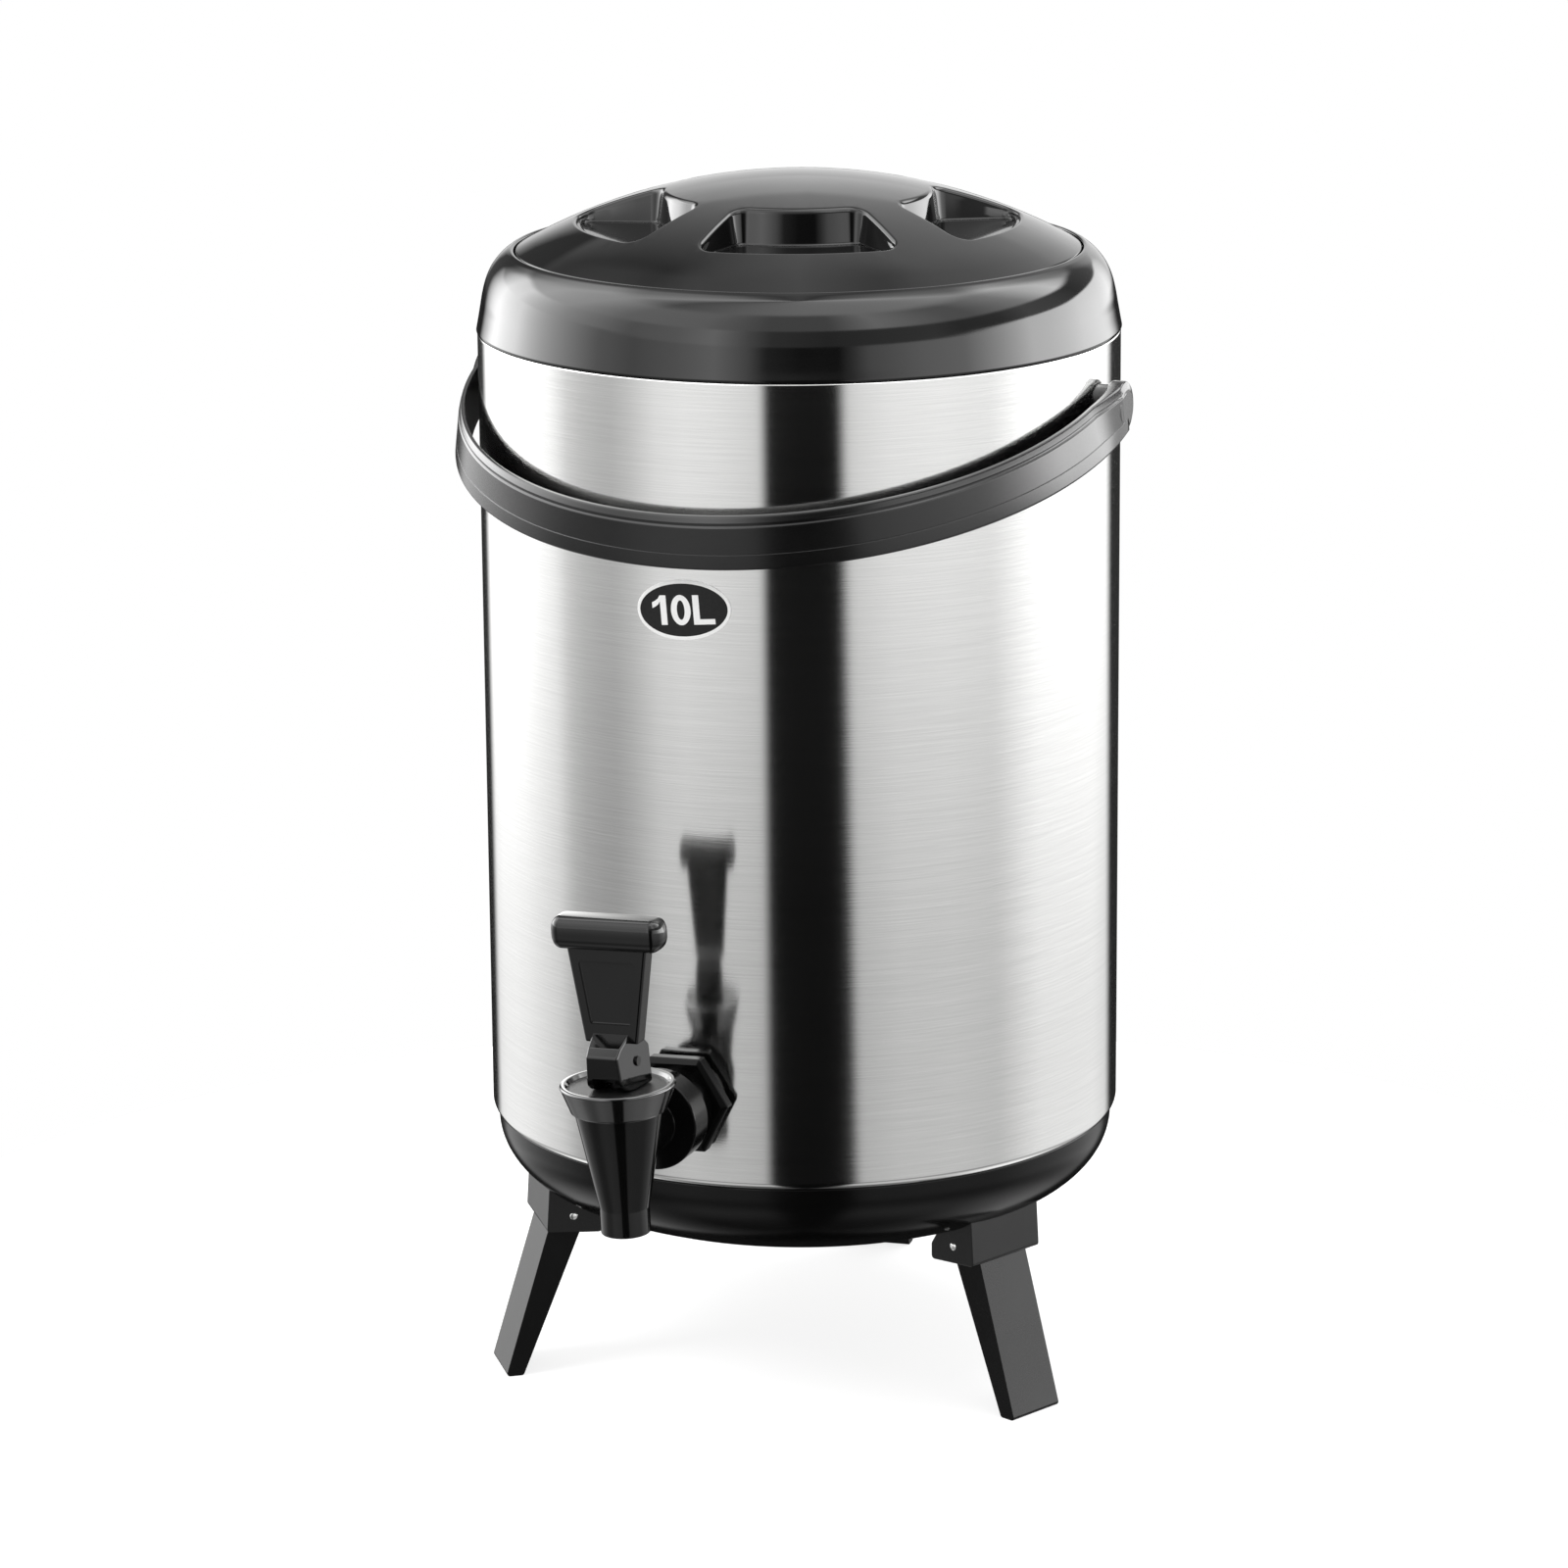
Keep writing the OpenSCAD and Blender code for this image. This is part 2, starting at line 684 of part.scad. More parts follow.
module leg_pin_left() { leg_pin(leg_angles[0]); }
module leg_pin_right() { leg_pin(leg_angles[1]); }
module leg_pin_rear() { leg_pin(leg_angles[2]); }

// A leg that splays outwards, with its sole cut level
module leg(angle) {
    color(black_plastic) rotate([0, 0, leg_turn + angle]) difference() {
        union() {
            upright(leg_w) translate(pin_at) circle(r = leg_head_r);
            upright(leg_w) polygon([leg_outer, foot_outer, foot_inner, leg_inner]);
        }
        upright(2 * leg_w) translate(pin_at) circle(r = leg_pin_r + pin_gap);
    }
}

module leg_left() { leg(leg_angles[0]); }
module leg_right() { leg(leg_angles[1]); }
module leg_rear() { leg(leg_angles[2]); }

// Bail

// A seat on the drum with the pin that the bail turns on
module bail_boss(side) {
    color(black_plastic) rotate([0, 0, side]) difference() {
        translate([0, 0, pivot_z]) union() {
            rod_x(boss_r, body_r - shell_wall, pivot_face);
            rod_x(pivot_r, body_r, pivot_end);
        }
        translate([0, 0, pivot_z - 2 * boss_r]) cylinder(r = body_r, h = 4 * boss_r, $fn = fine);
        translate([0, 0, pivot_z]) rod_x(pivot_screw_r + pin_gap, 0, far);
    }
}

module bail_boss_left() { bail_boss(180); }
module bail_boss_right() { bail_boss(0); }

module bail_screw(side) {
    color(steel) rotate([0, 0, side]) translate([0, 0, pivot_z]) {
        rod_x(pivot_screw_r, body_r - pivot_screw_h, pivot_end);
        rod_x(pivot_head_r, pivot_end, pivot_end + pivot_head_h);
    }
}

module bail_screw_left() { bail_screw(180); }
module bail_screw_right() { bail_screw(0); }

// Section of the band, with its edges taken off
module band_section() {
    half = bail_w / 2;
    polygon([[bail_in_r, bail_edge - half], [bail_in_r + bail_edge, -half], [bail_r - bail_edge, -half],
        [bail_r, bail_edge - half], [bail_r, half - bail_edge], [bail_r - bail_edge, half],
        [bail_in_r + bail_edge, half], [bail_in_r, half - bail_edge]]);
}

module handle_bail() {
    color(black_plastic) translate([0, 0, pivot_z]) rotate([bail_droop, 0, 0]) difference() {
        union() {
            translate([0, -bail_arm, 0]) rotate([0, 0, 180]) rotate_extrude(angle = 180) band_section();
            for (side = [0, 1]) mirror([side, 0, 0]) {
                rotate([90, 0, 0]) linear_extrude(bail_arm) band_section();
                rod_x(lug_r, bail_in_r, bail_r);
            }
        }
        for (side = [0, 1]) mirror([side, 0, 0]) {
            rod_x(pivot_r + pin_gap, bail_in_r - 1, bail_r + 1);
            rod_x(lug_recess_r, recess_face, bail_r + 1);
        }
    }
}

// Badge

module capacity_badge() {
    color(black_plastic) rotate([0, 0, badge_turn]) intersection() {
        ring(body_r, body_r + badge_t, collar_z - badge_drop - 2 * badge_half_h,
            collar_z - badge_drop + 2 * badge_half_h);
        translate([0, 0, collar_z - badge_drop]) rotate([90, 0, 0])
            linear_extrude(far) scale([1, badge_half_h / badge_half_w]) circle(r = badge_half_w);
    }
}

// Lid

module lid_gasket() {
    middle_r = (mouth_r + seam_r) / 2;
    color(silicone) ring(middle_r - gasket_w / 2, middle_r + gasket_w / 2, recess_z, flange_z);
}

// A wedge along -Y whose sides lie this far inside the lines at the pocket's half angle
module pocket_wedge(inside) {
    apex = inside / sin(pocket_half_a);
    polygon([[0, -apex], [far * tan(pocket_half_a), -apex - far], [-far * tan(pocket_half_a), -apex - far]]);
}

// A pocket's outline: a sector of a ring with round corners, grown by a wall
module pocket_outline(grow) {
    r_in = pocket_in_r - grow;
    r_out = pocket_out_r + grow;
    corner = pocket_corner_r + grow;
    intersection() {
        difference() {
            circle(r = r_out - corner);
            circle(r = r_in + corner);
        }
        pocket_wedge(-grow);
    }
    intersection() {
        difference() {
            circle(r = r_out);
            circle(r = r_in);
        }
        pocket_wedge(corner - grow);
    }
    for (side = [-1, 1], r = [r_in + corner, r_out - corner]) {
        inside = corner - grow;
        along = sqrt(r * r - inside * inside);
        rotate(side * pocket_half_a) translate([-side * inside, -along]) circle(r = corner);
    }
}

module pockets_from(z, grow) {
    for (i = [0:pockets - 1]) rotate([0, 0, pocket_turn + i * 360 / pockets])
        translate([0, 0, z]) linear_extrude(far) pocket_outline(grow);
}

// The solid under the dome's outer face
module dome_solid() {
    intersection() {
        translate([0, 0, dome_centre_z]) sphere(r = dome_r, $fn = fine / 2);
        translate([0, 0, flange_z]) cylinder(r = lid_r, h = far);
    }
}

module lid_cover() {
    color(black_plastic) difference() {
        union() {
            difference() {
                union() {
                    dome_solid();
                    translate([0, 0, plug_z]) cylinder(r = plug_r, h = flange_z - plug_z + 1);
                }
                intersection() {
                    translate([0, 0, dome_centre_z]) sphere(r = dome_r - lid_wall, $fn = fine / 2);
                    translate([0, 0, plug_z - 1]) cylinder(r = plug_r - lid_wall, h = far);
                }
            }
            intersection() {
                dome_solid();
                pockets_from(pocket_floor_z - lid_wall, lid_wall);
            }
        }
        pockets_from(pocket_floor_z, 0);
    }
}

module lid_inner_pan() {
    color(silicone) union() {
        translate([0, 0, plug_z - lid_wall]) cylinder(r = plug_r, h = lid_wall);
        ring(pan_r - lid_wall, pan_r, plug_z - lid_wall, plug_z + pan_rim_h);
    }
}

module lid_insulation() {
    color(foam_yellow) translate([0, 0, plug_z])
        cylinder(r = pan_r - lid_wall - fit_gap, h = lid_foam_t);
}

// Tap

module tap_body() {
    color(black_plastic) tap_frame() difference() {
        union() {
            rotate_extrude() polygon([[0, nozzle_end], [nozzle_r, nozzle_end], [nozzle_r, -cone_end],
                [cone_top_r, cone_top], [tap_neck_r, cone_top], [tap_neck_r, neck_top], [0, neck_top]]);
            rod_y(shank_r, 0, shank_tip);
            rod_y(flange_r, flange_at, flange_at + flange_t);
            rod_y(barrel_r, flange_at, nut_front);
        }
        translate([0, 0, -seat_drop]) cylinder(r = chamber_r, h = far);
        translate([0, 0, nozzle_end - 1]) cylinder(r = outlet_r, h = far);
        rod_y(shank_bore_r, 0, shank_tip + 1);
    }
}

// A six-sided nut with its corners sloped off on the outer face
module tap_nut() {
    color(black_plastic) tap_frame() translate([0, nut_front, 0]) rotate([-90, 0, 0]) difference() {
        intersection() {
            cylinder(r = nut_r, h = nut_t, $fn = 6);
            union() {
                cylinder(r1 = nut_r - nut_slope, r2 = nut_r, h = nut_slope);
                translate([0, 0, nut_slope]) cylinder(r = nut_r, h = nut_t);
            }
        }
        translate([0, 0, -1]) cylinder(r = shank_r + pin_gap, h = nut_t + 2);
    }
}

module tap_outer_washer() {
    color(silicone) difference() {
        tap_frame() difference() {
            rod_y(washer_r, nut_back, spout_gap + washer_r);
            rod_y(shank_r + pin_gap, 0, far);
        }
        translate([0, 0, shell_z]) cylinder(r = body_r, h = shell_h, $fn = fine);
    }
}

module tap_inner_washer() {
    color(silicone) intersection() {
        tap_frame() difference() {
            rod_y(inner_washer_r, spout_gap, inner_nut_face);
            rod_y(shank_r + pin_gap, 0, far);
        }
        translate([0, 0, shell_z]) cylinder(r = tank_r, h = shell_h, $fn = fine);
    }
}

module tap_inner_nut() {
    color(black_plastic) tap_frame() translate([0, inner_nut_face, 0]) rotate([-90, 0, 0]) difference() {
        cylinder(r = inner_nut_r, h = inner_nut_t, $fn = 6);
        translate([0, 0, -1]) cylinder(r = shank_r + pin_gap, h = inner_nut_t + 2);
    }
}

module tap_bonnet() {
    bore = tap_neck_r + fit_gap;
    lip_in = bonnet_r - bonnet_lip;
    hole = stem_r + pin_gap;
    color(black_plastic) tap_frame() rotate_extrude() polygon(concat(
        [[bore, bonnet_low], [bonnet_low_r, bonnet_low]],
        arc([bonnet_r - bonnet_lip / 2, bonnet_top - bonnet_lip / 2], bonnet_lip / 2, bonnet_lip / 2, 0, 90, 4),
        [[lip_in + bonnet_lip / 4, bonnet_top], [lip_in - dish_h / 2, dish_z], [hole, dish_z],
         [hole, bonnet_under], [bore, bonnet_under]]));
}

// Rings of the spring's wire, from its lower end to its upper one
function wire_ring(i) =
    let (turn = 360 * i / rings_per_turn,
         low = spring_low + spring_wire_r + fit_gap,
         high = bonnet_under - spring_wire_r - fit_gap,
         z = low + (high - low) * i / spring_rings)
    [for (k = [0:wire_sides - 1]) let (a = 360 * k / wire_sides, r = spring_r + spring_wire_r * cos(a))
        [r * cos(turn), r * sin(turn), z + spring_wire_r * sin(a)]];

module tap_spring() {
    points = [for (i = [0:spring_rings]) each wire_ring(i)];
    last = spring_rings * wire_sides;
    side = [for (i = [0:spring_rings - 1], k = [0:wire_sides - 1])
        let (a = i * wire_sides + k, b = i * wire_sides + (k + 1) % wire_sides)
        each [[a, a + wire_sides, b], [b, a + wire_sides, b + wire_sides]]];
    ends = [for (k = [1:wire_sides - 2]) each [[0, k, k + 1], [last, last + k + 1, last + k]]];
    color(steel) tap_frame() polyhedron(points, concat(side, ends));
}

module tap_stem() {
    color(black_plastic) tap_frame() difference() {
        union() {
            translate([0, 0, cup_top - cup_grip])
                cylinder(r = stem_r, h = lever_z - cup_top + cup_grip);
            translate([0, 0, cup_top]) cylinder(r = stem_flange_r, h = stem_flange_t);
            translate([-tongue_w / 2, -tongue_d / 2, dish_z + tongue_rise])
                cube([tongue_w, tongue_d, lever_pin_h - tongue_rise + tongue_top]);
        }
        translate([0, 0, lever_z]) rod_x(lever_pin_r, -far, far);
    }
}

module tap_seat_cup() {
    color(silicone) tap_frame() difference() {
        translate([0, 0, cup_low]) cylinder(r = cup_r, h = cup_h);
        translate([0, 0, cup_top - cup_grip]) cylinder(r = stem_r, h = far);
    }
}

module tap_lever_pin() {
    color(steel) tap_frame() translate([0, 0, lever_z]) rod_x(lever_pin_r, -foot_w / 2, foot_w / 2);
}

// A paddle's outline, drawn in from its edges
module paddle_outline(inside) {
    low = foot_top + inside;
    high = grip_h - grip_r / 2 - inside;
    polygon([[inside - paddle_low_w / 2, low], [paddle_low_w / 2 - inside, low],
        [paddle_high_w / 2 - inside, high], [inside - paddle_high_w / 2, high]]);
}

module paddle_slab(inside, y0, y1) {
    translate([0, y1, 0]) rotate([90, 0, 0]) linear_extrude(y1 - y0) paddle_outline(inside);
}

// The foot's side view: a flat heel, the cam's curve under the toe, and sloped shoulders
module foot_outline() {
    toe = cam_point(lever_tilt);
    polygon(concat([[-foot_back, -cam_r]],
        [for (i = [0:cam_steps]) cam_point(lever_tilt * i / cam_steps)],
        [[toe[0], foot_top - foot_slope], [toe[0] - foot_slope, foot_top],
         [paddle_t / 2, foot_top + paddle_root], [-paddle_t / 2, foot_top + paddle_root],
         [foot_slope - foot_back, foot_top], [-foot_back, foot_top - foot_slope]]));
}

module tap_lever() {
    half_grip = grip_w / 2 - grip_r;
    color(black_plastic) tap_frame() translate([0, 0, lever_z]) difference() {
        union() {
            upright(foot_w) foot_outline();
            paddle_slab(0, -paddle_t / 2, paddle_t / 2);
            translate([0, 0, grip_h]) {
                rod_x(grip_r, -half_grip, half_grip);
                for (side = [-1, 1]) translate([side * half_grip, 0, 0]) sphere(r = grip_r);
            }
        }
        paddle_slab(panel_border, -far, panel_h - paddle_t / 2);
        paddle_slab(panel_border, paddle_t / 2 - panel_h, far);
        rod_x(tongue_clear, -slot_half, slot_half);
        translate([-slot_half, -far, -far]) cube([2 * slot_half, far + tongue_clear, far]);
        translate([-slot_half, -far, -tongue_top]) cube([2 * slot_half, far, 2 * tongue_top]);
        rod_x(lever_pin_r + pin_gap, -far, far);
    }
}

outer_shell();
shell_bottom();
inner_tank();
insulation_foam();
top_collar();
base_shell();
base_screws();
leg_bracket_left();
leg_bracket_right();
leg_bracket_rear();
leg_pin_left();
leg_pin_right();
leg_pin_rear();
bracket_screws();
leg_left();
leg_right();
leg_rear();
bail_boss_left();
bail_boss_right();
bail_screw_left();
bail_screw_right();
handle_bail();
capacity_badge();
lid_gasket();
lid_cover();
lid_inner_pan();
lid_insulation();
tap_body();
tap_nut();
tap_outer_washer();
tap_inner_washer();
tap_inner_nut();
tap_bonnet();
tap_spring();
tap_stem();
tap_seat_cup();
tap_lever_pin();
tap_lever();
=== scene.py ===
from math import acos, asin, atan2, copysign, cos, hypot, pi, radians, sin, sqrt, tan

import bmesh
import bpy
from mathutils import Matrix, Vector
from mathutils.geometry import delaunay_2d_cdt


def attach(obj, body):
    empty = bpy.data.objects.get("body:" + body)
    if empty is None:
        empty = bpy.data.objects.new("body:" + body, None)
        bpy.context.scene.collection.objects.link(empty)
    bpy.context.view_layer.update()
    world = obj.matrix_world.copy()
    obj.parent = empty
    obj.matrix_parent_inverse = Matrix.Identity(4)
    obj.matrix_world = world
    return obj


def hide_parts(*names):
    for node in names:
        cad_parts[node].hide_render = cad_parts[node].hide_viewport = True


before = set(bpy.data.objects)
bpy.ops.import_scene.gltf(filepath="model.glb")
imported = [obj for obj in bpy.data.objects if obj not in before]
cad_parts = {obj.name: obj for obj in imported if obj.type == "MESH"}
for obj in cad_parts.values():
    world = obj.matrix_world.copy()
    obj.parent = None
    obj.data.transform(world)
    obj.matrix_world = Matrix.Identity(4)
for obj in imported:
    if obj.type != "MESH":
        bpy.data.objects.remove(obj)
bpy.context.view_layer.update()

# ---- Drum shell ----
# Stainless sheet, rolled to a tube and welded in one upright seam at the back. Its face is
# polished and then brushed in fine level lines, and its lower edge curls in over the base.

mm = 0.001
shell_r, shell_low_r, shell_wall = 130.0, 127.1, 1.0
shell_low_z, shell_curl_h, shell_top_z = 107.5, 3.4, 432.5
shell_neck_r, shell_neck_z = 125.65, 448.0
seam_half_w, seam_groove = 0.25, 0.18


class Wire:
    """A shader socket that takes part in plain arithmetic."""

    def __init__(self, finish, socket):
        self.finish, self.socket = finish, socket

    def math(self, operation, *values):
        return self.finish.node("Math", {"operation": operation}, dict(enumerate(values)))

    def __add__(self, other):
        return self.math("ADD", self, other)

    def __sub__(self, other):
        return self.math("SUBTRACT", self, other)

    def __rsub__(self, other):
        return self.math("SUBTRACT", other, self)

    def __mul__(self, other):
        return self.math("MULTIPLY", self, other)

    __radd__ = __add__
    __rmul__ = __mul__


class Finish:
    """The nodes of a new material of that name, or of the world."""

    def __init__(self, name, world=None):
        self.owner = world or bpy.data.materials.new(name)
        self.owner.use_nodes = True
        self.tree = self.owner.node_tree
        self.tree.nodes.clear()

    def node(self, kind, settings=None, sockets=None, output=0):
        made = self.tree.nodes.new("ShaderNode" + kind)
        for name, value in (settings or {}).items():
            if name == "stops":
                stops = made.color_ramp.elements
                while len(stops) < len(value):
                    stops.new(1.0)
                for stop, (place, level) in zip(stops, value):
                    stop.position, stop.color = place, (level, level, level, 1.0)
            else:
                setattr(made, name, value)
        for name, value in (sockets or {}).items():
            if isinstance(value, Wire):
                self.tree.links.new(value.socket, made.inputs[name])
            else:
                made.inputs[name].default_value = value
        return Wire(self, made.outputs[output]) if len(made.outputs) else None

    def grain(self, scale, detail=3.0, roughness=0.55):
        """Noise on the object's own coordinates, scale in marks a metre along each axis."""
        place = self.node("TexCoord", output="Object")
        place = self.node("Mapping", None, {"Vector": place, "Scale": scale})
        return self.node("TexNoise", None, {
            "Vector": place, "Scale": 1.0, "Detail": detail, "Roughness": roughness})

    def spread(self, value, low, high):
        """A value between low and high, where noise gives about 0.3 to 0.7."""
        return self.node("MapRange", None, {
            "Value": value, "From Min": 0.3, "From Max": 0.7, "To Min": low, "To Max": high})

    def between(self, value, dark, light):
        """A colour between two greys or colours."""
        return self.node("Mix", {"data_type": "RGBA"}, {
            0: value, 6: (*dark, 1.0), 7: (*light, 1.0)}, output=2)

    def bump(self, height, strength, distance=0.0002):
        return self.node("Bump", None, {
            "Strength": strength, "Distance": distance, "Height": height})

    def surface(self, **sockets):
        named = {key.replace("_", " "): value for key, value in sockets.items()}
        shader = self.node("BsdfPrincipled", None, named)
        self.node("OutputMaterial", None, {"Surface": shader})
        return self.owner


def brushed_steel(name, dark, light, gloss, lines, anisotropy=0.0):
    """Stainless steel with brushed lines; gloss is the roughness at its lowest and highest."""
    finish = Finish(name)
    line = finish.grain(lines, 4.0, 0.6)
    cloud = finish.grain((14.0, 14.0, 9.0), 2.0)
    return finish.surface(
        Base_Color=finish.between(finish.spread(line, 0.0, 1.0), dark, light),
        Metallic=1.0,
        Roughness=finish.spread(line * 0.6 + cloud * 0.4, *gloss),
        Anisotropic=anisotropy,
        Anisotropic_Rotation=0.25,
        Normal=finish.bump(line, 0.045))


def rounded(corners, steps=5):
    """A closed outline in millimetres from (x, y, radius) corners, each turned round its radius."""
    outline = []
    before, after = corners[-1:] + corners[:-1], corners[1:] + corners[:1]
    for last, (x, y, radius), following in zip(before, corners, after):
        if not radius:
            outline.append((x, y))
            continue
        here = Vector((x, y))
        back, on = ((Vector(corner[:2]) - here).normalized() for corner in (last, following))
        half = back.angle(on) / 2
        centre = here + (back + on).normalized() * (radius / sin(half))
        start = here + back * (radius / tan(half)) - centre
        end = here + on * (radius / tan(half)) - centre
        turn = atan2(start.cross(end), start.dot(end))
        for k in range(steps + 1):
            a = turn * k / steps
            outline.append((centre.x + start.x * cos(a) - start.y * sin(a),
                            centre.y + start.x * sin(a) + start.y * cos(a)))
    return outline


def ellipse(centre, wide, high, start, end, steps):
    """Points of an ellipse's arc, angles in degrees."""
    turns = [radians(start + (end - start) * k / steps) for k in range(steps + 1)]
    return [(centre[0] + wide * cos(a), centre[1] + high * sin(a)) for a in turns]


def settled(piece):
    """Turns an object's modifiers into plain mesh."""
    piece.data = bpy.data.meshes.new_from_object(
        piece.evaluated_get(bpy.context.evaluated_depsgraph_get()))
    piece.modifiers.clear()
    return piece


def smoothed(piece, sharp=32.0):
    """Smooth shading up to sharp edges, with broad faces kept flat beside narrow round ones."""
    piece.data.shade_smooth()
    piece.data.set_sharp_from_angle(angle=radians(sharp))
    piece.modifiers.new("flat_faces", "WEIGHTED_NORMAL").keep_sharp = True
    return settled(piece)


def solid(name, bm, *finishes, sharp=32.0):
    """An object from a closed mesh in millimetres."""
    bmesh.ops.recalc_face_normals(bm, faces=bm.faces)
    if bm.calc_volume(signed=True) < 0:
        bmesh.ops.reverse_faces(bm, faces=bm.faces)
    for vert in bm.verts:
        vert.co *= mm
    mesh = bpy.data.meshes.new(name)
    bm.to_mesh(mesh)
    bm.free()
    for finish in finishes:
        mesh.materials.append(finish)
    piece = bpy.data.objects.new(name, mesh)
    bpy.context.scene.collection.objects.link(piece)
    return smoothed(piece, sharp)


def turn_into(bm, profile, angles, place=Matrix.Identity(4), closed=True):
    """Adds a ring of faces for each step of a (radius, height) profile, turned about Z."""
    rings = []
    for r, z in profile:
        around = angles if r > 1e-6 else angles[:1]
        rings.append([bm.verts.new(place @ Vector((r * sin(a), -r * cos(a), z)))
                      for a in around])
    for low, high in zip(rings, rings[1:] + (rings[:1] if closed else [])):
        for k in range(len(angles)):
            corners = [low[k % len(low)], low[(k + 1) % len(angles) % len(low)],
                       high[(k + 1) % len(angles) % len(high)], high[k % len(high)]]
            corners = list(dict.fromkeys(corners))
            if len(corners) > 2:
                bm.faces.new(corners)


def whole_turn(sides):
    """The angles of equal steps round a circle."""
    return [2 * pi * k / sides for k in range(sides)]


def turned(name, profile, finish, sides=192, places=(Matrix.Identity(4),)):
    """A piece turned about its own Z from a closed profile in millimetres, at each place."""
    bm = bmesh.new()
    for place in places:
        turn_into(bm, profile, whole_turn(sides), place)
    return solid(name, bm, finish)


curl = ellipse((shell_low_r, shell_low_z + shell_curl_h),
               shell_r - shell_low_r, shell_curl_h, -90, 0, 12)
shell_outer = curl + [(shell_r, z) for z in range(116, 416, 24)] + rounded([
    (shell_r, 420.0, 0), (shell_r, shell_top_z, 0.8), (shell_neck_r, shell_top_z, 0.8),
    (shell_neck_r, shell_neck_z, 0)])
shell_inner = [
    (r - shell_wall, z - (shell_wall if z > shell_top_z - 2 and r > shell_neck_r + 1 else 0))
    for r, z in shell_outer]
seam_turns = [pi + s / shell_r for s in (-1.6, -0.5, -0.3, 0.0, 0.3, 0.5, 1.6)]
shell_turns = [2 * pi * k / 360 for k in range(360) if abs(k - 180) > 1]
shell_turns = sorted(shell_turns + seam_turns)
bm = bmesh.new()
turn_into(bm, shell_outer + shell_inner[::-1], shell_turns)
for vert in bm.verts:
    off = abs(atan2(vert.co.x, -vert.co.y)) - pi
    if abs(off * shell_r) < seam_half_w and vert.co.xy.length > shell_r - shell_wall / 2:
        vert.co.xy *= (shell_r - seam_groove) / shell_r
shell_steel = brushed_steel(
    "brushed_shell_steel", (0.82, 0.82, 0.81), (0.89, 0.89, 0.88), (0.095, 0.135),
    (26.0, 26.0, 2000.0), 0.6)
drum_shell = solid("drum_shell", bm, shell_steel)
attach(drum_shell, "body")
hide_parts("outer_shell")

# ---- Inner tank and bottom plate ----
# The tank is drawn from stainless sheet and hangs by its rim on the shell's neck. A plain steel
# plate closes the shell below. Both have a duller, satin finish.

tank_r, tank_wall, tank_floor_z, tank_corner_r, tank_rim_z = 109.0, 1.0, 119.5, 6.0, 448.0
tank_profile = rounded([
    (0.0, tank_floor_z - tank_wall, 0),
    (tank_r + tank_wall, tank_floor_z - tank_wall, tank_corner_r + tank_wall),
    (tank_r + tank_wall, tank_rim_z, 0.6), (shell_neck_r, tank_rim_z, 0.4),
    (shell_neck_r, tank_rim_z + tank_wall, 0.4), (tank_r, tank_rim_z + tank_wall, 1.4),
    (tank_r, tank_floor_z, tank_corner_r), (0.0, tank_floor_z, 0)])
tank_steel = brushed_steel(
    "satin_tank_steel", (0.62, 0.62, 0.61), (0.76, 0.76, 0.75), (0.28, 0.4), (16.0, 16.0, 700.0))
tank = turned("tank", tank_profile, tank_steel)
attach(tank, "body")
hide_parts("inner_tank")


def refinish(finish, *nodes):
    """Gives CAD nodes that keep their own shape a finish."""
    for node in nodes:
        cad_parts[node].material_slots[0].material = finish


refinish(tank_steel, "shell_bottom")

# ---- Insulation ----
# Rigid foam, poured between shell and tank, and cut as a disc for the lid. It is pale yellow,
# with small round cells, and nothing of it shows on a closed dispenser.

finish = Finish("rigid_foam")
place = finish.node("TexCoord", output="Object")
cells = finish.node("TexVoronoi", None, {"Vector": place, "Scale": 900.0})
rigid_foam = finish.surface(
    Base_Color=finish.between(cells, (0.62, 0.52, 0.26), (0.83, 0.76, 0.5)),
    Roughness=0.9,
    Normal=finish.bump(cells, 0.5, 0.0005))
refinish(rigid_foam, "insulation_foam", "lid_insulation")

# ---- Top collar ----
# Black polypropylene moulding, pressed over the drum's upper edge. A round shoulder runs from
# its skirt to the lid's seam, with a recess for the seal and a neck that guides the lid's plug.


def moulded_black(name, dark, light, gloss, peel, specular=0.5):
    """Black moulded plastic between two greys; gloss is its lowest and highest roughness, peel
    its surface waviness."""
    finish = Finish(name)
    waves = finish.grain((160.0,) * 3, 2.0)
    cloud = finish.grain((26.0,) * 3, 3.0)
    dust = finish.grain((1900.0,) * 3, 1.0)
    return finish.surface(
        Base_Color=finish.between(
            finish.spread(cloud * 0.7 + dust * 0.3, 0.0, 1.0), (dark,) * 3, (light,) * 3),
        Roughness=finish.spread(cloud * 0.6 + dust * 0.4, *gloss),
        Specular_IOR_Level=specular,
        Normal=finish.bump(waves * 0.7 + dust * 0.3, peel))


def smooth_line(points, steps=6):
    """A smooth line through points."""
    points = [Vector(p) for p in points]
    points = [2 * points[0] - points[1]] + points + [2 * points[-1] - points[-2]]
    line = []
    for a, b, c, d in zip(points, points[1:], points[2:], points[3:]):
        for k in range(steps):
            t = k / steps
            line.append(tuple(0.5 * (2 * b + (c - a) * t + (2 * a - 5 * b + 4 * c - d) * t * t
                                     + (3 * b - a - 3 * c + d) * t ** 3)))
    return line + [tuple(points[-2])]


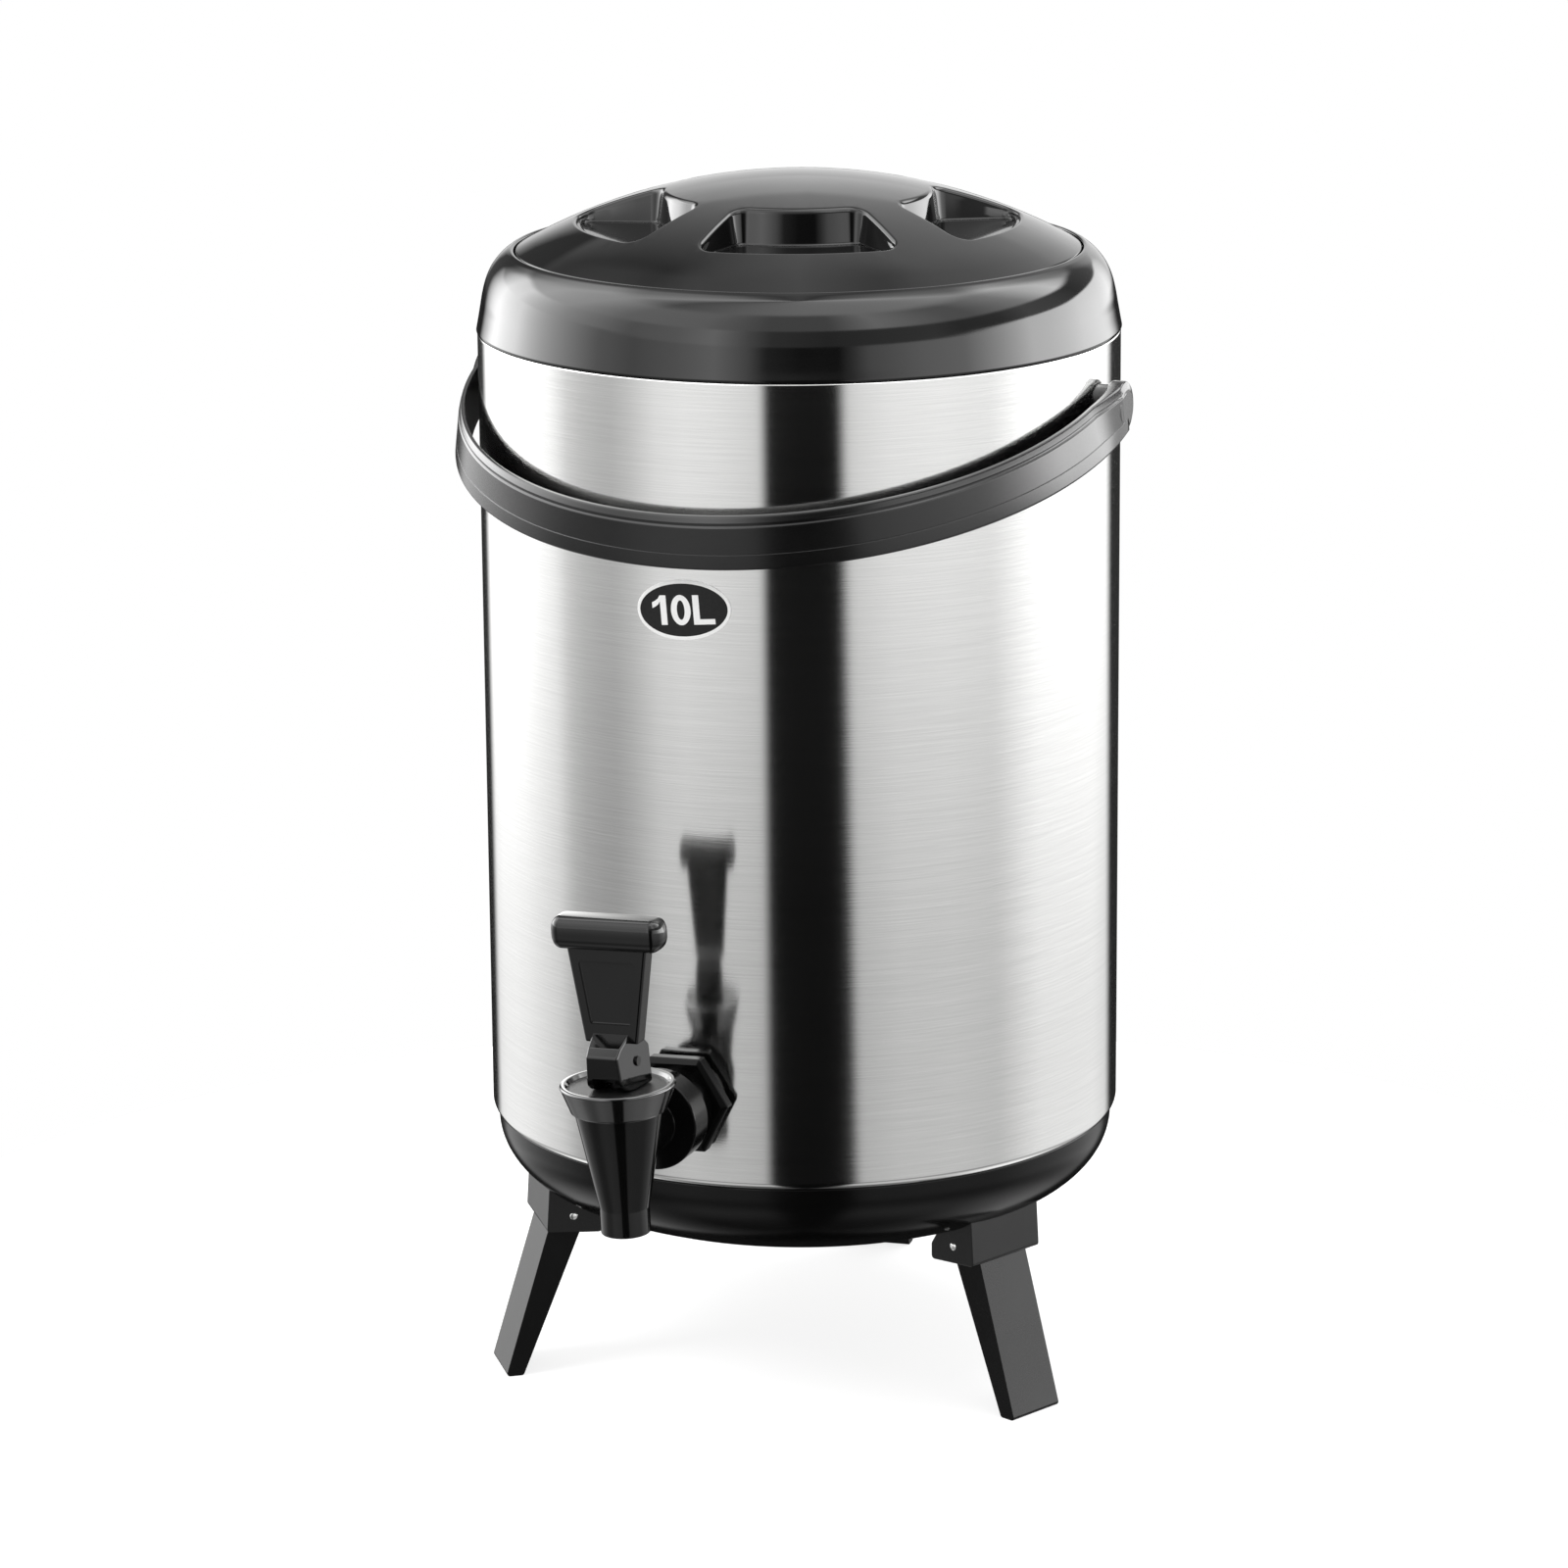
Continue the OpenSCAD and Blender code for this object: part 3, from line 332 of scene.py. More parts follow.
collar_in_r, collar_low_z, collar_under_z = 125.8, 432.5, 449.0
lid_seam_r, recess_z = 114.5, 457.5
mouth_r, neck_r, neck_low_z = 103.0, 106.0, 441.0
collar_face = smooth_line([
    (130.4, 433.3), (129.6, 437.5), (128.7, 442.5), (127.8, 447.5), (126.4, 452.8),
    (124.2, 457.6), (121.0, 461.7), (118.0, 464.2), (116.2, 465.3)])
collar_profile = [(collar_in_r, collar_low_z), (129.6, collar_low_z), (130.2, 432.75)] + collar_face
collar_profile += rounded([
    (116.2, 465.3, 0), (lid_seam_r + 0.3, 465.75, 0.9), (lid_seam_r + 0.2, recess_z, 0.6),
    (mouth_r, recess_z, 1.2), (mouth_r, neck_low_z, 1.0), (neck_r, neck_low_z, 0.8),
    (neck_r, collar_under_z, 0), (collar_in_r, collar_under_z, 0)])[1:]
gloss_black = moulded_black("gloss_black_moulding", 0.003, 0.006, (0.05, 0.08), 0.03)
collar = turned("collar", collar_profile, gloss_black, sides=256)
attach(collar, "body")
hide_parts("top_collar")

# ---- Lid cover ----
# Black domed moulding with five finger pockets pressed into it, by which it is turned, and a
# plug below that enters the collar's neck. The pockets have sloped walls and flat floors.

lid_r, lid_flange_z, lid_edge_z = 114.2, 459.7, 464.8
rim_r = lid_r - 1.6
dome_r, dome_z = 234.41, 260.09
plug_r, plug_in_r, plug_low_z, plug_roof_z = 102.4, 99.8, 433.7, 455.5
pocket_count, pocket_turn = 5, 21.5
pocket_in_r, pocket_out_r, pocket_half_a = 54.5, 89.0, 26.3
pocket_corner_r, pocket_floor_z = 6.0, 474.0
lip_r, wall_lean, floor_round = 2.0, 1.5, 0.9


def dome_height(x, y):
    return dome_z + sqrt(dome_r ** 2 - x * x - y * y)


def pocket_loop(inset, middle):
    """A pocket's outline, drawn in by inset: a sector of a ring with round corners."""
    half = radians(pocket_half_a)
    corner = pocket_corner_r - inset
    out_r, in_r = pocket_out_r - pocket_corner_r, pocket_in_r + pocket_corner_r
    out_a, in_a = (half - asin(pocket_corner_r / r) for r in (out_r, in_r))
    side = []
    for centre_r, centre_a, first, last in ((out_r, out_a, out_a, half + pi / 2),
                                            (in_r, in_a, half + pi / 2, in_a + pi)):
        for k in range(9):
            a = first + (last - first) * k / 8
            side.append((centre_r * cos(centre_a) + corner * cos(a),
                         centre_r * sin(centre_a) + corner * sin(a)))
    wall = [(Vector(side[8]) * (1 - t) + Vector(side[9]) * t)[:] for t in (0.25, 0.5, 0.75)]
    upper = side[:9] + wall + side[9:]
    lower = [(u, -v) for u, v in reversed(upper)]

    def arc(r, half_a):
        return [(r * cos(a), r * sin(a)) for a in (half_a * (k / 8 - 1) for k in range(1, 16))]

    loop = arc(pocket_out_r - inset, out_a) + upper + arc(pocket_in_r + inset, in_a)[::-1] + lower
    c, s = sin(middle), -cos(middle)
    return [(u * c - v * s, u * s + v * c) for u, v in loop]


quarter = [radians(15 * k) for k in range(7)]
wall_rings = [(lip_r * (sin(a) - 1), lip_r * (1 - cos(a)), 0.0, 0.0) for a in quarter[:-1]]
wall_rings += [(wall_lean * t, lip_r, t, floor_round) for t in (0.0, 0.2, 0.4, 0.6, 0.8, 1.0)]
wall_rings += [(wall_lean + floor_round * (1 - cos(a)), 0.0, 1.0, floor_round * (1 - sin(a)))
               for a in quarter[1:]]
lid_turns = whole_turn(240)
pocket_turns = [radians(pocket_turn + 360 / pocket_count * n) for n in range(pocket_count)]
bm = bmesh.new()
lid_side = rounded([
    (rim_r, dome_height(0, rim_r), 0), (lid_r, lid_edge_z + 0.1, 1.2), (lid_r, lid_flange_z, 0.5),
    (plug_r, lid_flange_z, 0.8), (plug_r, plug_low_z, 1.2), (plug_in_r, plug_low_z, 0.3),
    (plug_in_r, plug_roof_z, 0.8), (0.0, plug_roof_z, 0)])
turn_into(bm, lid_side, lid_turns, closed=False)
rim = [(rim_r * sin(a), -rim_r * cos(a)) for a in lid_turns]
mouths = [pocket_loop(-lip_r, middle) for middle in pocket_turns]
flat, edges = [], []
for ring in [rim] + mouths:
    edges += [(len(flat) + k, len(flat) + (k + 1) % len(ring)) for k in range(len(ring))]
    flat += ring
lips = [Vector(p) for mouth in mouths for p in mouth]
flat.append((0.0, 0.0))
dome_step, lip_clear = 5.5, 2.2
for ring_r in (5, 10, *range(16, 47, 6), 51, 56, *range(62, 93, 6), 97, 102, 107):
    count = max(12, int(ring_r * 2 * pi / dome_step))
    for k in range(count):
        a = 2 * pi * (k + 0.5 * (count % 2)) / count
        spot = Vector((ring_r * sin(a), -ring_r * cos(a)))
        if min((spot - p).length for p in lips) > lip_clear:
            flat.append(spot[:])


def inside_loop(x, y, loop):
    """Whether a point lies inside a closed outline."""
    hits = [(a, b) for a, b in zip(loop, loop[1:] + loop[:1]) if (a[1] > y) != (b[1] > y)]
    return sum(x < a[0] + (b[0] - a[0]) * (y - a[1]) / (b[1] - a[1]) for a, b in hits) % 2 == 1


points, _, faces, *_ = delaunay_2d_cdt([Vector(p) for p in flat], edges, [], 0, 1e-4)
dome_verts = [bm.verts.new((p.x, p.y, dome_height(p.x, p.y))) for p in points]
for corners in faces:
    middle = sum((points[k] for k in corners), Vector((0, 0))) / len(corners)
    if not any(inside_loop(middle.x, middle.y, mouth) for mouth in mouths):
        bm.faces.new([dome_verts[k] for k in corners])


def skin(bm, rings):
    """Adds the faces between each ring of corners and the next."""
    made = []
    for low, high in zip(rings, rings[1:]):
        for k in range(len(low)):
            m = (k + 1) % len(low)
            made.append(bm.faces.new([low[k], low[m], high[m], high[k]]))
    return made


for middle in pocket_turns:
    rings = [[bm.verts.new((x, y, (dome_height(x, y) - drop) * (1 - share)
                            + (pocket_floor_z + rise) * share))
              for x, y in pocket_loop(inset, middle)] for inset, drop, share, rise in wall_rings]
    skin(bm, rings)
    bm.faces.new(rings[-1])
bmesh.ops.remove_doubles(bm, verts=bm.verts, dist=0.02)
loose = [vert for vert in bm.verts if not vert.link_faces]
bmesh.ops.delete(bm, geom=loose, context="VERTS")
lid_black = moulded_black("lid_black_moulding", 0.003, 0.006, (0.04, 0.07), 0.03)
lid = solid("lid", bm, lid_black)
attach(lid, "lid")
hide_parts("lid_cover")

# ---- Lid pan and seal ----
# A pale moulded pan closes the lid's plug from below and holds the foam disc. A ring of soft
# grey silicone lies in the collar's recess, and the lid's flange presses on it.

pan_low_z, pan_rim_r, pan_rim_in_r, pan_rim_z = 431.1, 99.65, 97.05, 443.7


def speckled(name, dark, light, marks, gloss, peel, specular=0.5):
    """Plain plastic or rubber with fine specks; marks is how many there are to a metre."""
    finish = Finish(name)
    speck = finish.grain((marks,) * 3)
    return finish.surface(
        Base_Color=finish.between(speck, dark, light),
        Roughness=finish.spread(speck, *gloss),
        Specular_IOR_Level=specular,
        Normal=finish.bump(speck, peel))


pale_moulding = speckled(
    "pale_moulding", (0.66, 0.66, 0.64), (0.74, 0.74, 0.72), 420.0, (0.34, 0.46), 0.05)
lid_pan = turned("lid_pan", rounded([
    (0.0, pan_low_z + 1.0, 0), (70.0, pan_low_z + 1.0, 4.0), (76.0, pan_low_z, 4.0),
    (plug_r, pan_low_z, 1.2), (plug_r, plug_low_z, 0), (pan_rim_r, plug_low_z, 0),
    (pan_rim_r, pan_rim_z, 0.6), (pan_rim_in_r, pan_rim_z, 0.6), (pan_rim_in_r, plug_low_z, 0.4),
    (0.0, plug_low_z, 0)]), pale_moulding)
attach(lid_pan, "lid")
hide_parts("lid_inner_pan")
pale_silicone = speckled(
    "pale_silicone", (0.56, 0.56, 0.54), (0.66, 0.66, 0.64), 700.0, (0.5, 0.65), 0.08, 0.35)
seal_in_r, seal_out_r = 104.75, 112.75
lid_seal = turned("lid_seal_ring", rounded([
    (seal_in_r, recess_z, 0.7), (seal_out_r, recess_z, 0.7), (seal_out_r, lid_flange_z, 0.7),
    (110.2, lid_flange_z, 0.3), (109.6, lid_flange_z - 0.6, 0.3), (107.9, lid_flange_z - 0.6, 0.3),
    (107.3, lid_flange_z, 0.3), (seal_in_r, lid_flange_z, 0.7)]), pale_silicone)
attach(lid_seal, "lid_seal")
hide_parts("lid_gasket")

# ---- Base bowl ----
# Black moulded bowl under the drum, screwed to the bottom plate. Its flat rim carries the leg
# brackets, and the recess inside the rim, with a notch at each leg, takes the folded legs.

base_r, base_top_z, base_in_r, base_floor_z = 127.6, 107.5, 124.6, 90.0
bowl_z, bowl_middle_r, bowl_wide, bowl_high = 103.5, 87.8, 39.8, 30.5
rim_in_r, rim_z, fold_z = 94.8, 73.0, 84.0
leg_turns = {"left": -53.5, "right": 66.5, "rear": 186.5}
notch_half_w, notch_out_r, notch_top_z = 14.05, 111.9, 77.3


def bowl_height(r):
    return bowl_z - bowl_high * sqrt(max(0.0, 1 - ((r - bowl_middle_r) / bowl_wide) ** 2))


def upright(turn):
    """The place of a piece drawn in distance from the axis and height, at a turn in degrees."""
    a = radians(turn)
    return Matrix(((sin(a), 0, -cos(a), 0), (-cos(a), 0, -sin(a), 0),
                   (0, 1, 0, 0), (0, 0, 0, 1)))


def block_into(bm, low, high, place):
    for vert in bmesh.ops.create_cube(bm, size=1.0)["verts"]:
        vert.co = place @ Vector([a + (b - a) * (c + 0.5) for a, b, c in zip(low, high, vert.co)])


def carved(piece, cutter, overlaps=False):
    """Cuts one object out of another; overlaps says that either has bodies that overlap."""
    knife = piece.modifiers.new("cut", "BOOLEAN")
    knife.object, knife.solver, knife.use_self = cutter, "EXACT", overlaps
    settled(piece)
    bpy.data.objects.remove(cutter)
    return smoothed(piece)


satin_black = moulded_black("satin_black_moulding", 0.003, 0.007, (0.2, 0.27), 0.06, 0.38)
base_profile = [(0.0, fold_z), (60.0, fold_z)] + rounded([
    (80.0, fold_z, 0), (rim_in_r, fold_z, 1.5), (rim_in_r, rim_z, 0.8), (98.2, rim_z + 0.3, 0.8),
    (100.0, bowl_height(100.0), 0)])[1:]
base_profile += ellipse((bowl_middle_r, bowl_z), bowl_wide, bowl_high, -70, 0, 22)
base_profile += rounded([
    (base_r, bowl_z, 0), (base_r, base_top_z, 0.6), (base_in_r, base_top_z, 0),
    (base_in_r, 103.0, 2.0), (108.0, base_floor_z, 4.0), (60.0, base_floor_z, 0)])[1:]
base_profile += [(0.0, base_floor_z)]
base_black = moulded_black("base_black_moulding", 0.002, 0.005, (0.16, 0.21), 0.05, 0.22)
base_bowl = turned("base_bowl", base_profile, base_black, sides=256)
bm = bmesh.new()
for turn in leg_turns.values():
    block_into(bm, (80.0, 60.0, -notch_half_w), (notch_out_r, notch_top_z, notch_half_w),
               upright(turn))
base_bowl = carved(base_bowl, solid("notches", bm))
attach(base_bowl, "body")
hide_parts("base_shell")

# ---- Leg brackets ----
# Three forks of the same black plastic, screwed under the rim from inside the base. Two cheeks
# hold the leg's pin, and the outer wall stops the leg when it is down.

bracket_half_w, fork_half_w = 19.65, 14.05
bracket_in_r, bracket_out_r, bracket_wall_r = 92.0, 117.03, 113.73
bracket_low_in_z, bracket_low_out_z, bracket_end_z = 61.7, 63.3, 68.5
edge_turns = [radians(22.5 * k) for k in range(5)]
edge_round = [(1 - sin(a), 1 - cos(a)) for a in edge_turns]


def drawn_in(corners, inset):
    """The (x, y, radius) corners of an outline, drawn in by inset."""
    flat = [Vector(corner[:2]) for corner in corners]
    area = sum(a.cross(b) for a, b in zip(flat, flat[1:] + flat[:1]))
    drawn = []
    before, after = flat[-1:] + flat[:-1], flat[1:] + flat[:1]
    for last, here, following, corner in zip(before, flat, after, corners):
        into, on = (here - last).normalized(), (following - here).normalized()
        a, b = Vector((-into.y, into.x)), Vector((-on.y, on.x))
        shift = (a + b) / max(0.4, 1 + a.dot(b)) * copysign(inset, area)
        drawn.append((*(here + shift), max(corner[2] - inset, min(corner[2], 0.4))))
    return drawn


def slab_into(bm, layers, place=Matrix.Identity(4)):
    """Adds a closed slab through layers, each a list of (x, y, radius) corners at a depth."""
    rings = [[bm.verts.new(place @ Vector((x, y, depth))) for x, y in rounded(corners, 4)]
             for corners, depth in layers]
    skin(bm, rings)
    bm.faces.new(rings[0][::-1])
    bm.faces.new(rings[-1])


def round_edges(corners, half, edge):
    """Layers of a slab from -half to half whose edges are rounded."""
    side = [(drawn_in(corners, edge * inset), half - edge * drop) for inset, drop in edge_round]
    return [(drawn, -depth) for drawn, depth in side] + side[::-1]


seat = [(r, bowl_height(r) + 2.2) for r in (bracket_out_r - 1.7, 113.0, 109.0, 105.0, 101.0, 97.0)]
bracket_outline = [(bracket_in_r, bracket_low_in_z, 1.6), (bracket_out_r, bracket_low_out_z, 1.4)]
bracket_outline += [(r, z, 0) for r, z in seat]
bracket_outline += [(rim_in_r + 0.4, rim_z + 1.5, 0), (rim_in_r, rim_z, 0),
                    (bracket_in_r, bracket_end_z, 1.4)]
bend_start_r = 110.0
for side, turn in leg_turns.items():
    bm = bmesh.new()
    slab_into(bm, round_edges(bracket_outline, bracket_half_w, 0.4))
    for vert in bm.verts:
        outer = max(0.0, (vert.co.x - bend_start_r) / (bracket_out_r - bend_start_r))
        vert.co.x -= outer * (bracket_out_r - sqrt(bracket_out_r ** 2 - vert.co.z ** 2))
        vert.co = upright(turn) @ vert.co
    bracket = solid("leg_bracket_" + side + "_fork", bm, satin_black)
    bm = bmesh.new()
    block_into(bm, (80.0, 50.0, -fork_half_w), (bracket_wall_r, 95.0, fork_half_w),
               upright(turn))
    bracket = carved(bracket, solid("fork_room", bm))
    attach(bracket, "body")
    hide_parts("leg_bracket_" + side)

# ---- Leg pins ----
# Bright steel pins, pressed through both cheeks of each bracket. Their slightly domed ends
# stand a hair proud of the cheeks.

pin_r, leg_pin_r, leg_pin_z = 2.2, 104.2, 69.6
bright_steel = brushed_steel(
    "bright_pin_steel", (0.72, 0.72, 0.71), (0.86, 0.86, 0.85), (0.2, 0.3), (300.0, 300.0, 300.0))
pin_profile = [(0.0, -bracket_half_w - 0.3), (0.9, -bracket_half_w - 0.24),
               (1.5, -bracket_half_w - 0.05), (pin_r, -bracket_half_w + 0.6)]
pin_profile += [(r, -z) for r, z in reversed(pin_profile)]
leg_pins = turned("leg_pins", pin_profile, bright_steel, sides=32, places=[
    upright(turn) @ Matrix.Translation((leg_pin_r, leg_pin_z, 0)) for turn in leg_turns.values()])
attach(leg_pins, "body")
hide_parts("leg_pin_left", "leg_pin_right", "leg_pin_rear")

# ---- Legs ----
# Three folding legs of black plastic. Each turns on its pin at a round head, splays outwards
# when it is down, and stands on a sole that is cut level.

leg_half_w, leg_head_r = 13.65, 7.0
foot_out_r, foot_in_r = 132.7, 125.2


def head_touch(foot_r, side):
    """Where a line from the sole touches the leg's round head."""
    across, up = foot_r - leg_pin_r, -leg_pin_z
    return atan2(up, across) + side * acos(leg_head_r / hypot(across, up))


leg_start, leg_end = head_touch(foot_out_r, 1), head_touch(foot_in_r, -1)
head_turns = [leg_start + (leg_end + 2 * pi - leg_start) * k / 20 for k in range(21)]
leg_outline = [(leg_pin_r + leg_head_r * cos(a), leg_pin_z + leg_head_r * sin(a), 0)
               for a in head_turns]
leg_outline += [(foot_in_r, 0.0, 1.3), (foot_out_r, 0.0, 1.3)]
leg_black = moulded_black("leg_black_moulding", 0.003, 0.007, (0.2, 0.27), 0.06, 0.13)
for side, turn in leg_turns.items():
    bm = bmesh.new()
    slab_into(bm, round_edges(leg_outline, leg_half_w, 0.35), upright(turn))
    leg = solid("leg_" + side + "_moulding", bm, leg_black)
    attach(leg, "leg_" + side)
    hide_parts("leg_" + side)

# ---- Screws ----
# Steel pan-head screws with cross slots: three hold the base bowl from its recess, and one at
# each side of the drum holds the carrying bail's seat. Those of the brackets are inside the base.


def screw_tree():
    """Geometry nodes for a cross-slotted screw at each point, facing along the point's attribute."""
    tree = bpy.data.node_groups.new("pan_head_screws", "GeometryNodeTree")
    tree.interface.new_socket("Geometry", in_out="INPUT", socket_type="NodeSocketGeometry")
    for name in ("Head Radius", "Head Height", "Slot Width", "Shank Radius", "Shank Length"):
        tree.interface.new_socket(name, in_out="INPUT", socket_type="NodeSocketFloat")
    tree.interface.new_socket("Material", in_out="INPUT", socket_type="NodeSocketMaterial")
    tree.interface.new_socket("Geometry", in_out="OUTPUT", socket_type="NodeSocketGeometry")

    def node(kind, sockets=None, **settings):
        made = tree.nodes.new(kind)
        for name, value in settings.items():
            setattr(made, name, value)
        for name, value in (sockets or {}).items():
            for link in value if isinstance(value, list) else [value]:
                if isinstance(link, bpy.types.NodeSocket):
                    tree.links.new(link, made.inputs[name])
                else:
                    made.inputs[name].default_value = link
        return made.outputs

    def times(a, b, operation="MULTIPLY"):
        return node("ShaderNodeMath", {0: a, 1: b}, operation=operation)[0]

    def vector(x, y, z):
        return node("ShaderNodeCombineXYZ", {"X": x, "Y": y, "Z": z})[0]

    def raised(mesh, height):
        return node("GeometryNodeTransform", {
            "Geometry": mesh["Mesh"], "Translation": vector(0.0, 0.0, height)})[0]

    given = node("NodeGroupInput")
    head_r, head_h = given["Head Radius"], given["Head Height"]
    slot_w, shank_h = given["Slot Width"], given["Shank Length"]
    ball = node("GeometryNodeMeshUVSphere", {"Segments": 40, "Rings": 20, "Radius": head_r})
    flat = node("GeometryNodeTransform", {
        "Geometry": ball["Mesh"], "Scale": vector(1.0, 1.0, times(head_h, head_r, "DIVIDE"))})
    below = node("GeometryNodeMeshCube", {
        "Size": vector(times(head_r, 4.0), times(head_r, 4.0), times(head_h, 2.0))})
    cuts = [raised(below, times(head_h, -1.0))]
    slot_l, slot_h = times(head_r, 1.1), times(head_h, 1.4)
    for size in (vector(slot_l, slot_w, slot_h), vector(slot_w, slot_l, slot_h)):
        cuts.append(raised(node("GeometryNodeMeshCube", {"Size": size}), times(head_h, 1.1)))
    head = node("GeometryNodeMeshBoolean", {"Mesh 1": flat[0], "Mesh 2": cuts},
                operation="DIFFERENCE", solver="EXACT")
    shank = node("GeometryNodeMeshCylinder", {
        "Vertices": 24, "Radius": given["Shank Radius"], "Depth": shank_h})
    screw = node("GeometryNodeJoinGeometry", {
        "Geometry": [head[0], raised(shank, times(shank_h, -0.5))]})
    facing = node("GeometryNodeInputNamedAttribute", {"Name": "facing"}, data_type="FLOAT_VECTOR")
    turn = node("FunctionNodeAlignRotationToVector", {"Vector": facing["Attribute"]}, axis="Z")
    copies = node("GeometryNodeInstanceOnPoints", {
        "Points": given["Geometry"], "Instance": screw[0], "Rotation": turn[0]})
    real = node("GeometryNodeRealizeInstances", {"Geometry": copies[0]})
    named = node("GeometryNodeSetMaterial", {
        "Geometry": real[0], "Material": given["Material"]})
    node("NodeGroupOutput", {"Geometry": named[0]})
    return tree


screws_made = screw_tree()


def screws(name, places, sizes, finish):
    """Screws at (point, facing) places, with the tree's sizes in millimetres."""
    mesh = bpy.data.meshes.new(name)
    mesh.from_pydata([Vector(point) * mm for point, _ in places], [], [])
    mesh.attributes.new("facing", "FLOAT_VECTOR", "POINT").data.foreach_set(
        "vector", [c for _, facing in places for c in facing])
    piece = bpy.data.objects.new(name, mesh)
    bpy.context.scene.collection.objects.link(piece)
    maker = piece.modifiers.new("screws", "NODES")
    maker.node_group = screws_made
    inputs = {item.name: item.identifier for item in screws_made.interface.items_tree
              if item.in_out == "INPUT"}
    for size, value in sizes.items():
        maker[inputs[size]] = value * mm
    maker[inputs["Material"]] = finish
    return smoothed(settled(piece))


base_screw_r = 70.0
base_screw_turns = [radians(turn + 60) for turn in leg_turns.values()]
base_screws = screws(
    "base_pan_screws", [((base_screw_r * sin(a), -base_screw_r * cos(a), fold_z), (0, 0, -1))
                        for a in base_screw_turns],
    {"Head Radius": 4.0, "Head Height": 2.2, "Slot Width": 0.9, "Shank Radius": 2.0,
     "Shank Length": 24.0}, bright_steel)
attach(base_screws, "body")
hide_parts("base_screws")
bail_pivot_z, bail_screw_x = 407.5, 137.5
bail_screws = screws(
    "bail_pan_screws", [((s * bail_screw_x, 0, bail_pivot_z), (s, 0, 0)) for s in (-1, 1)],
    {"Head Radius": 6.2, "Head Height": 2.0, "Slot Width": 1.2, "Shank Radius": 1.6,
     "Shank Length": 14.0}, bright_steel)
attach(bail_screws, "body")
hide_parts("bail_screw_left", "bail_screw_right")
refinish(bright_steel, "bracket_screws")
refinish(satin_black, "bail_boss_left", "bail_boss_right")

# ---- Carrying bail ----
# A half ring of satin black plastic with a capped lug at each end, which turns on the seats' pins
# and hangs over the front of the drum. It thins towards its top edge, where a groove runs along it.

bail_in_r, bail_out_r, bail_half_w, bail_arm, bail_droop = 133.0, 140.0, 10.5, 5.0, 15.0
bail_lean = 0.21
lug_r, lug_recess_r, lug_recess, lug_cap, pivot_hole_r = 10.6, 6.5, 2.8, 0.4, 4.05
band = rounded([
    (bail_in_r + 0.3, -bail_half_w, 1.6), (bail_out_r, -bail_half_w, 1.2), (bail_out_r, -4.4, 0.1),
    (bail_out_r - 0.4, -4.2, 0.1), (bail_out_r, -4.0, 0.1), (bail_out_r, 6.2, 0.6),
    (bail_out_r - 0.75, 6.8, 0.2), (bail_out_r - 0.75, 7.4, 0.2), (bail_out_r - 0.35, 7.9, 0.3),
    (bail_out_r - 1.6, bail_half_w, 1.6), (bail_in_r + 0.4, bail_half_w, 1.6)], 4)
bail_turns = [pi * k / 144 for k in range(145)]
bail_path = [(Vector((1, 0, 0)), Vector((0, -bail_arm * k / 3, 0))) for k in range(3)]
bail_path += [(Vector((cos(a), -sin(a), 0)), Vector((0, -bail_arm, 0))) for a in bail_turns]
bail_path += [(Vector((-1, 0, 0)), Vector((0, -bail_arm * k / 3, 0))) for k in (2, 1, 0)]
bail_place = Matrix.Translation((0, 0, bail_pivot_z)) @ Matrix.Rotation(
    radians(bail_droop), 4, "X")
bm = bmesh.new()
rings = []
for n, (out, start) in enumerate(bail_path):
    lean = bail_lean * min(1.0, max(0.0, min(n, len(bail_path) - 1 - n) / 6 - 0.5))
    rings.append([bm.verts.new(bail_place @ (start + Vector((0, 0, h)) + out * (
        s - lean * (h + bail_half_w) * max(0.0, s - bail_in_r) / (bail_out_r - bail_in_r))))
        for s, h in band])
skin(bm, rings)
bm.faces.new(rings[0])
bm.faces.new(rings[-1])
cap_x, recess_x = bail_out_r - lug_cap, bail_out_r - lug_recess
lug_profile = rounded([
    (pivot_hole_r, bail_in_r, 0.3), (lug_r, bail_in_r, 1.2), (lug_r, bail_out_r - 1.2, 1.0),
    (7.4, bail_out_r - 0.1, 4.0), (0.0, bail_out_r, 0), (0.0, cap_x, 0), (lug_recess_r, cap_x, 0),
    (lug_recess_r, recess_x, 0), (pivot_hole_r, recess_x, 0.3)])
lug_places = [bail_place @ Matrix.Rotation(side * pi / 2, 4, "Y") for side in (-1, 1)]
for place in lug_places:
    turn_into(bm, lug_profile, whole_turn(64), place)
bail_black = moulded_black("bail_black_moulding", 0.003, 0.007, (0.17, 0.23), 0.05, 0.7)
bail = solid("carrying_bail", bm, bail_black)
pivot_room = turned("pivot_room", [
    (0, bail_in_r - 4), (pivot_hole_r, bail_in_r - 4), (pivot_hole_r, recess_x),
    (lug_recess_r, recess_x), (lug_recess_r, cap_x), (0, cap_x)], bail_black, 64, lug_places)
bail = carved(bail, pivot_room, overlaps=True)
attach(bail, "handle")
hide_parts("handle_bail")

# ---- Capacity badge ----
# A thin oval label on the front of the steel, printed white on black: a white border and the
# drum's capacity in plain upright letters. The print stands a hair above the label.

badge_half_w, badge_half_h, badge_t, badge_z, badge_turn = 19.6, 12.0, 0.5, 342.5, 1.0
badge_gap, badge_bevel = 0.02, 0.12
field_half_w, field_half_h, print_t = 18.3, 10.5, 0.06
badge_slant = radians(4.5)


def printed(name, dark, light):
    finish = Finish(name)
    ink = finish.grain((800.0,) * 3)
    return finish.surface(
        Base_Color=finish.between(finish.spread(ink, 0.0, 1.0), dark, light),
        Roughness=finish.spread(ink, 0.3, 0.42),
        Specular_IOR_Level=0.3,
        Normal=finish.bump(ink, 0.04, 0.0001))


